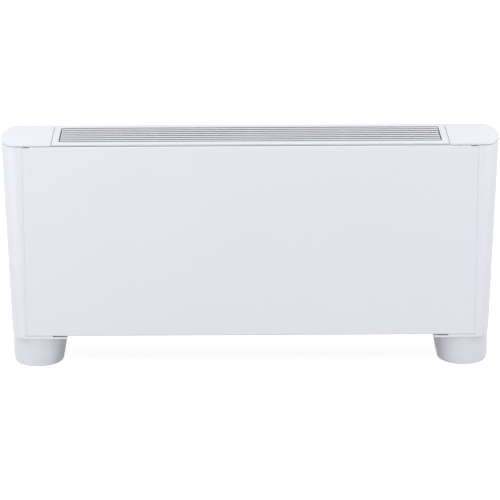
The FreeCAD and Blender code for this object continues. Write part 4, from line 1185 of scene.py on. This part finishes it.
def makeCloth():
    v = clothValues
    halfX, halfY = v["half"]
    stepX, stepY = 2 * halfX / v["cuts"], 2 * halfY / v["rows"]
    cloth = centredBlock("filterCloth", halfX, halfY, v["bottom"], v["top"])
    sliceAt(cloth, *[((stepX * number - halfX, 0, 0), (1, 0, 0)) for number in range(1, v["cuts"])],
            *[((0, stepY * number - halfY, 0), (0, 1, 0)) for number in range(1, v["rows"])])
    openAt(cloth, "VERT", lambda spot: abs(spot.y) < halfY - 1 and spot.z < v["bottom"] + close and
           round((spot.x + halfX) / stepX) % (v["cuts"] // v["bays"]) != 0)
    bpy.ops.transform.translate(value=(0, 0, v["depth"] * mm))
    closeMesh()
    finishPiece(cloth, "filter_mesh")


screwMaster = makeScrew()
makeScrews()
softenPlates()
makeControls()
print("screws, plates and controls are made")
makeFins()
makeReturnBends()
makeHeader("supply_header", -1)
makeHeader("return_header", 1)
print("the coil is made")
makeWheels()
makeInlets()
makeMotor()
makeCapacitor()
bpy.data.objects.remove(screwMaster)
makeCloth()
print("fans, motor, electrics and filter are made")


# Floor, light and camera

stageValues = dict(
    floorSize=40.0,  # metres
    floorColour=(205, 205, 207),
    floorDrift=0.995,
    floorLift=0.8,  # what a camera ray sees on top of the lit floor
    sky=0.55,
    lamps={
        # place and target in metres, size in metres, power in watts
        "leftLamp": ((-1.7, -0.4, 1.3), (-0.5, 0, 0.3), 1.0, 8.5),
        "rightLamp": ((1.7, -0.4, 1.3), (0.5, 0, 0.3), 1.0, 9.0),
        "frontLamp": ((-0.8, -4.6, 2.0), (0, 0, 0.3), 3.0, 38),
        "highLamp": ((-0.4, -2.0, 3.4), (0, 0, 0.3), 3.0, 47),
    },
)


def seenStrength(tree, strength, otherwise=0.0):
    # one strength for camera, mirror and glass rays, another for all the rest
    rays = addNode(tree, "LightPath", {}).outputs
    seen = largestOf(tree, *[rays["Is " + kind + " Ray"] for kind in ("Camera", "Glossy", "Transmission")])
    return rangeOf(tree, seen, otherwise, strength)


def addFloor():
    v = stageValues
    bpy.ops.mesh.primitive_plane_add(size=v["floorSize"], location=(0, 0, 0))
    floor = settle(bpy.context.object, "floor")
    material, tree, place = newMaterial("floorPaint")
    tint = tintOf(tree, noiseOf(tree, place, 3.0, 2.0), v["floorColour"], (0.3, v["floorDrift"]), (0.7, 1))
    shader = feed(tree, tree.nodes["Principled BSDF"],
                  {"Base Color": tint, "Roughness": 0.9, "Specular IOR Level": 0.1})
    glow = addNode(tree, "Emission", {"Color": (1, 1, 1, 1), "Strength": seenStrength(tree, v["floorLift"])})
    both = addNode(tree, "AddShader", {0: shader.outputs["BSDF"], 1: glow.outputs["Emission"]})
    feed(tree, tree.nodes["Material Output"], {"Surface": both.outputs["Shader"]})
    floor.data.materials.append(material)


def addSky():
    world = bpy.data.worlds.new("sky")
    bpy.context.scene.world = world
    world.use_nodes = True
    tree = world.node_tree
    feed(tree, tree.nodes["Background"],
         {"Color": (1, 1, 1, 1), "Strength": seenStrength(tree, 1.0, stageValues["sky"])})


def addLamps():
    for name, (place, target, size, power) in stageValues["lamps"].items():
        bpy.ops.object.light_add(type="AREA", location=place)
        lamp = bpy.context.object
        lamp.name = name
        lamp.data.shape = "SQUARE"
        lamp.data.size = size
        lamp.data.energy = power
        lamp.visible_camera = False
        aim = Vector(target) - Vector(place)
        lamp.rotation_euler = aim.to_track_quat("-Z", "Y").to_euler()


cameraValues = dict(
    place=(-0.0592, -6.8988, 2.2945),  # metres
    lens=205.23, sensor=36,
    farthest=100,  # metres
    turns=(16.2717, 0.484, -0.1445),  # pitch below the horizon, yaw and roll in degrees
)


def addCamera():
    v = cameraValues
    bpy.ops.object.camera_add(location=v["place"])
    camera = bpy.context.object
    camera.name = "photoCamera"
    camera.data.lens = v["lens"]
    camera.data.sensor_width = v["sensor"]
    camera.data.clip_end = v["farthest"]
    pitch, yaw, roll = (math.radians(turn) for turn in v["turns"])
    ahead = Vector((math.sin(yaw) * math.cos(pitch), math.cos(yaw) * math.cos(pitch), -math.sin(pitch)))
    right = Vector((math.cos(yaw), -math.sin(yaw), 0))
    up = right.cross(ahead)
    turnedRight = right * math.cos(roll) + up * math.sin(roll)
    turnedUp = up * math.cos(roll) - right * math.sin(roll)
    camera.rotation_euler = Matrix((turnedRight, turnedUp, -ahead)).transposed().to_euler()
    bpy.context.scene.camera = camera


addFloor()
addSky()
addLamps()
addCamera()
bpy.context.scene.view_settings.view_transform = "Standard"
print("floor, light and camera are set")
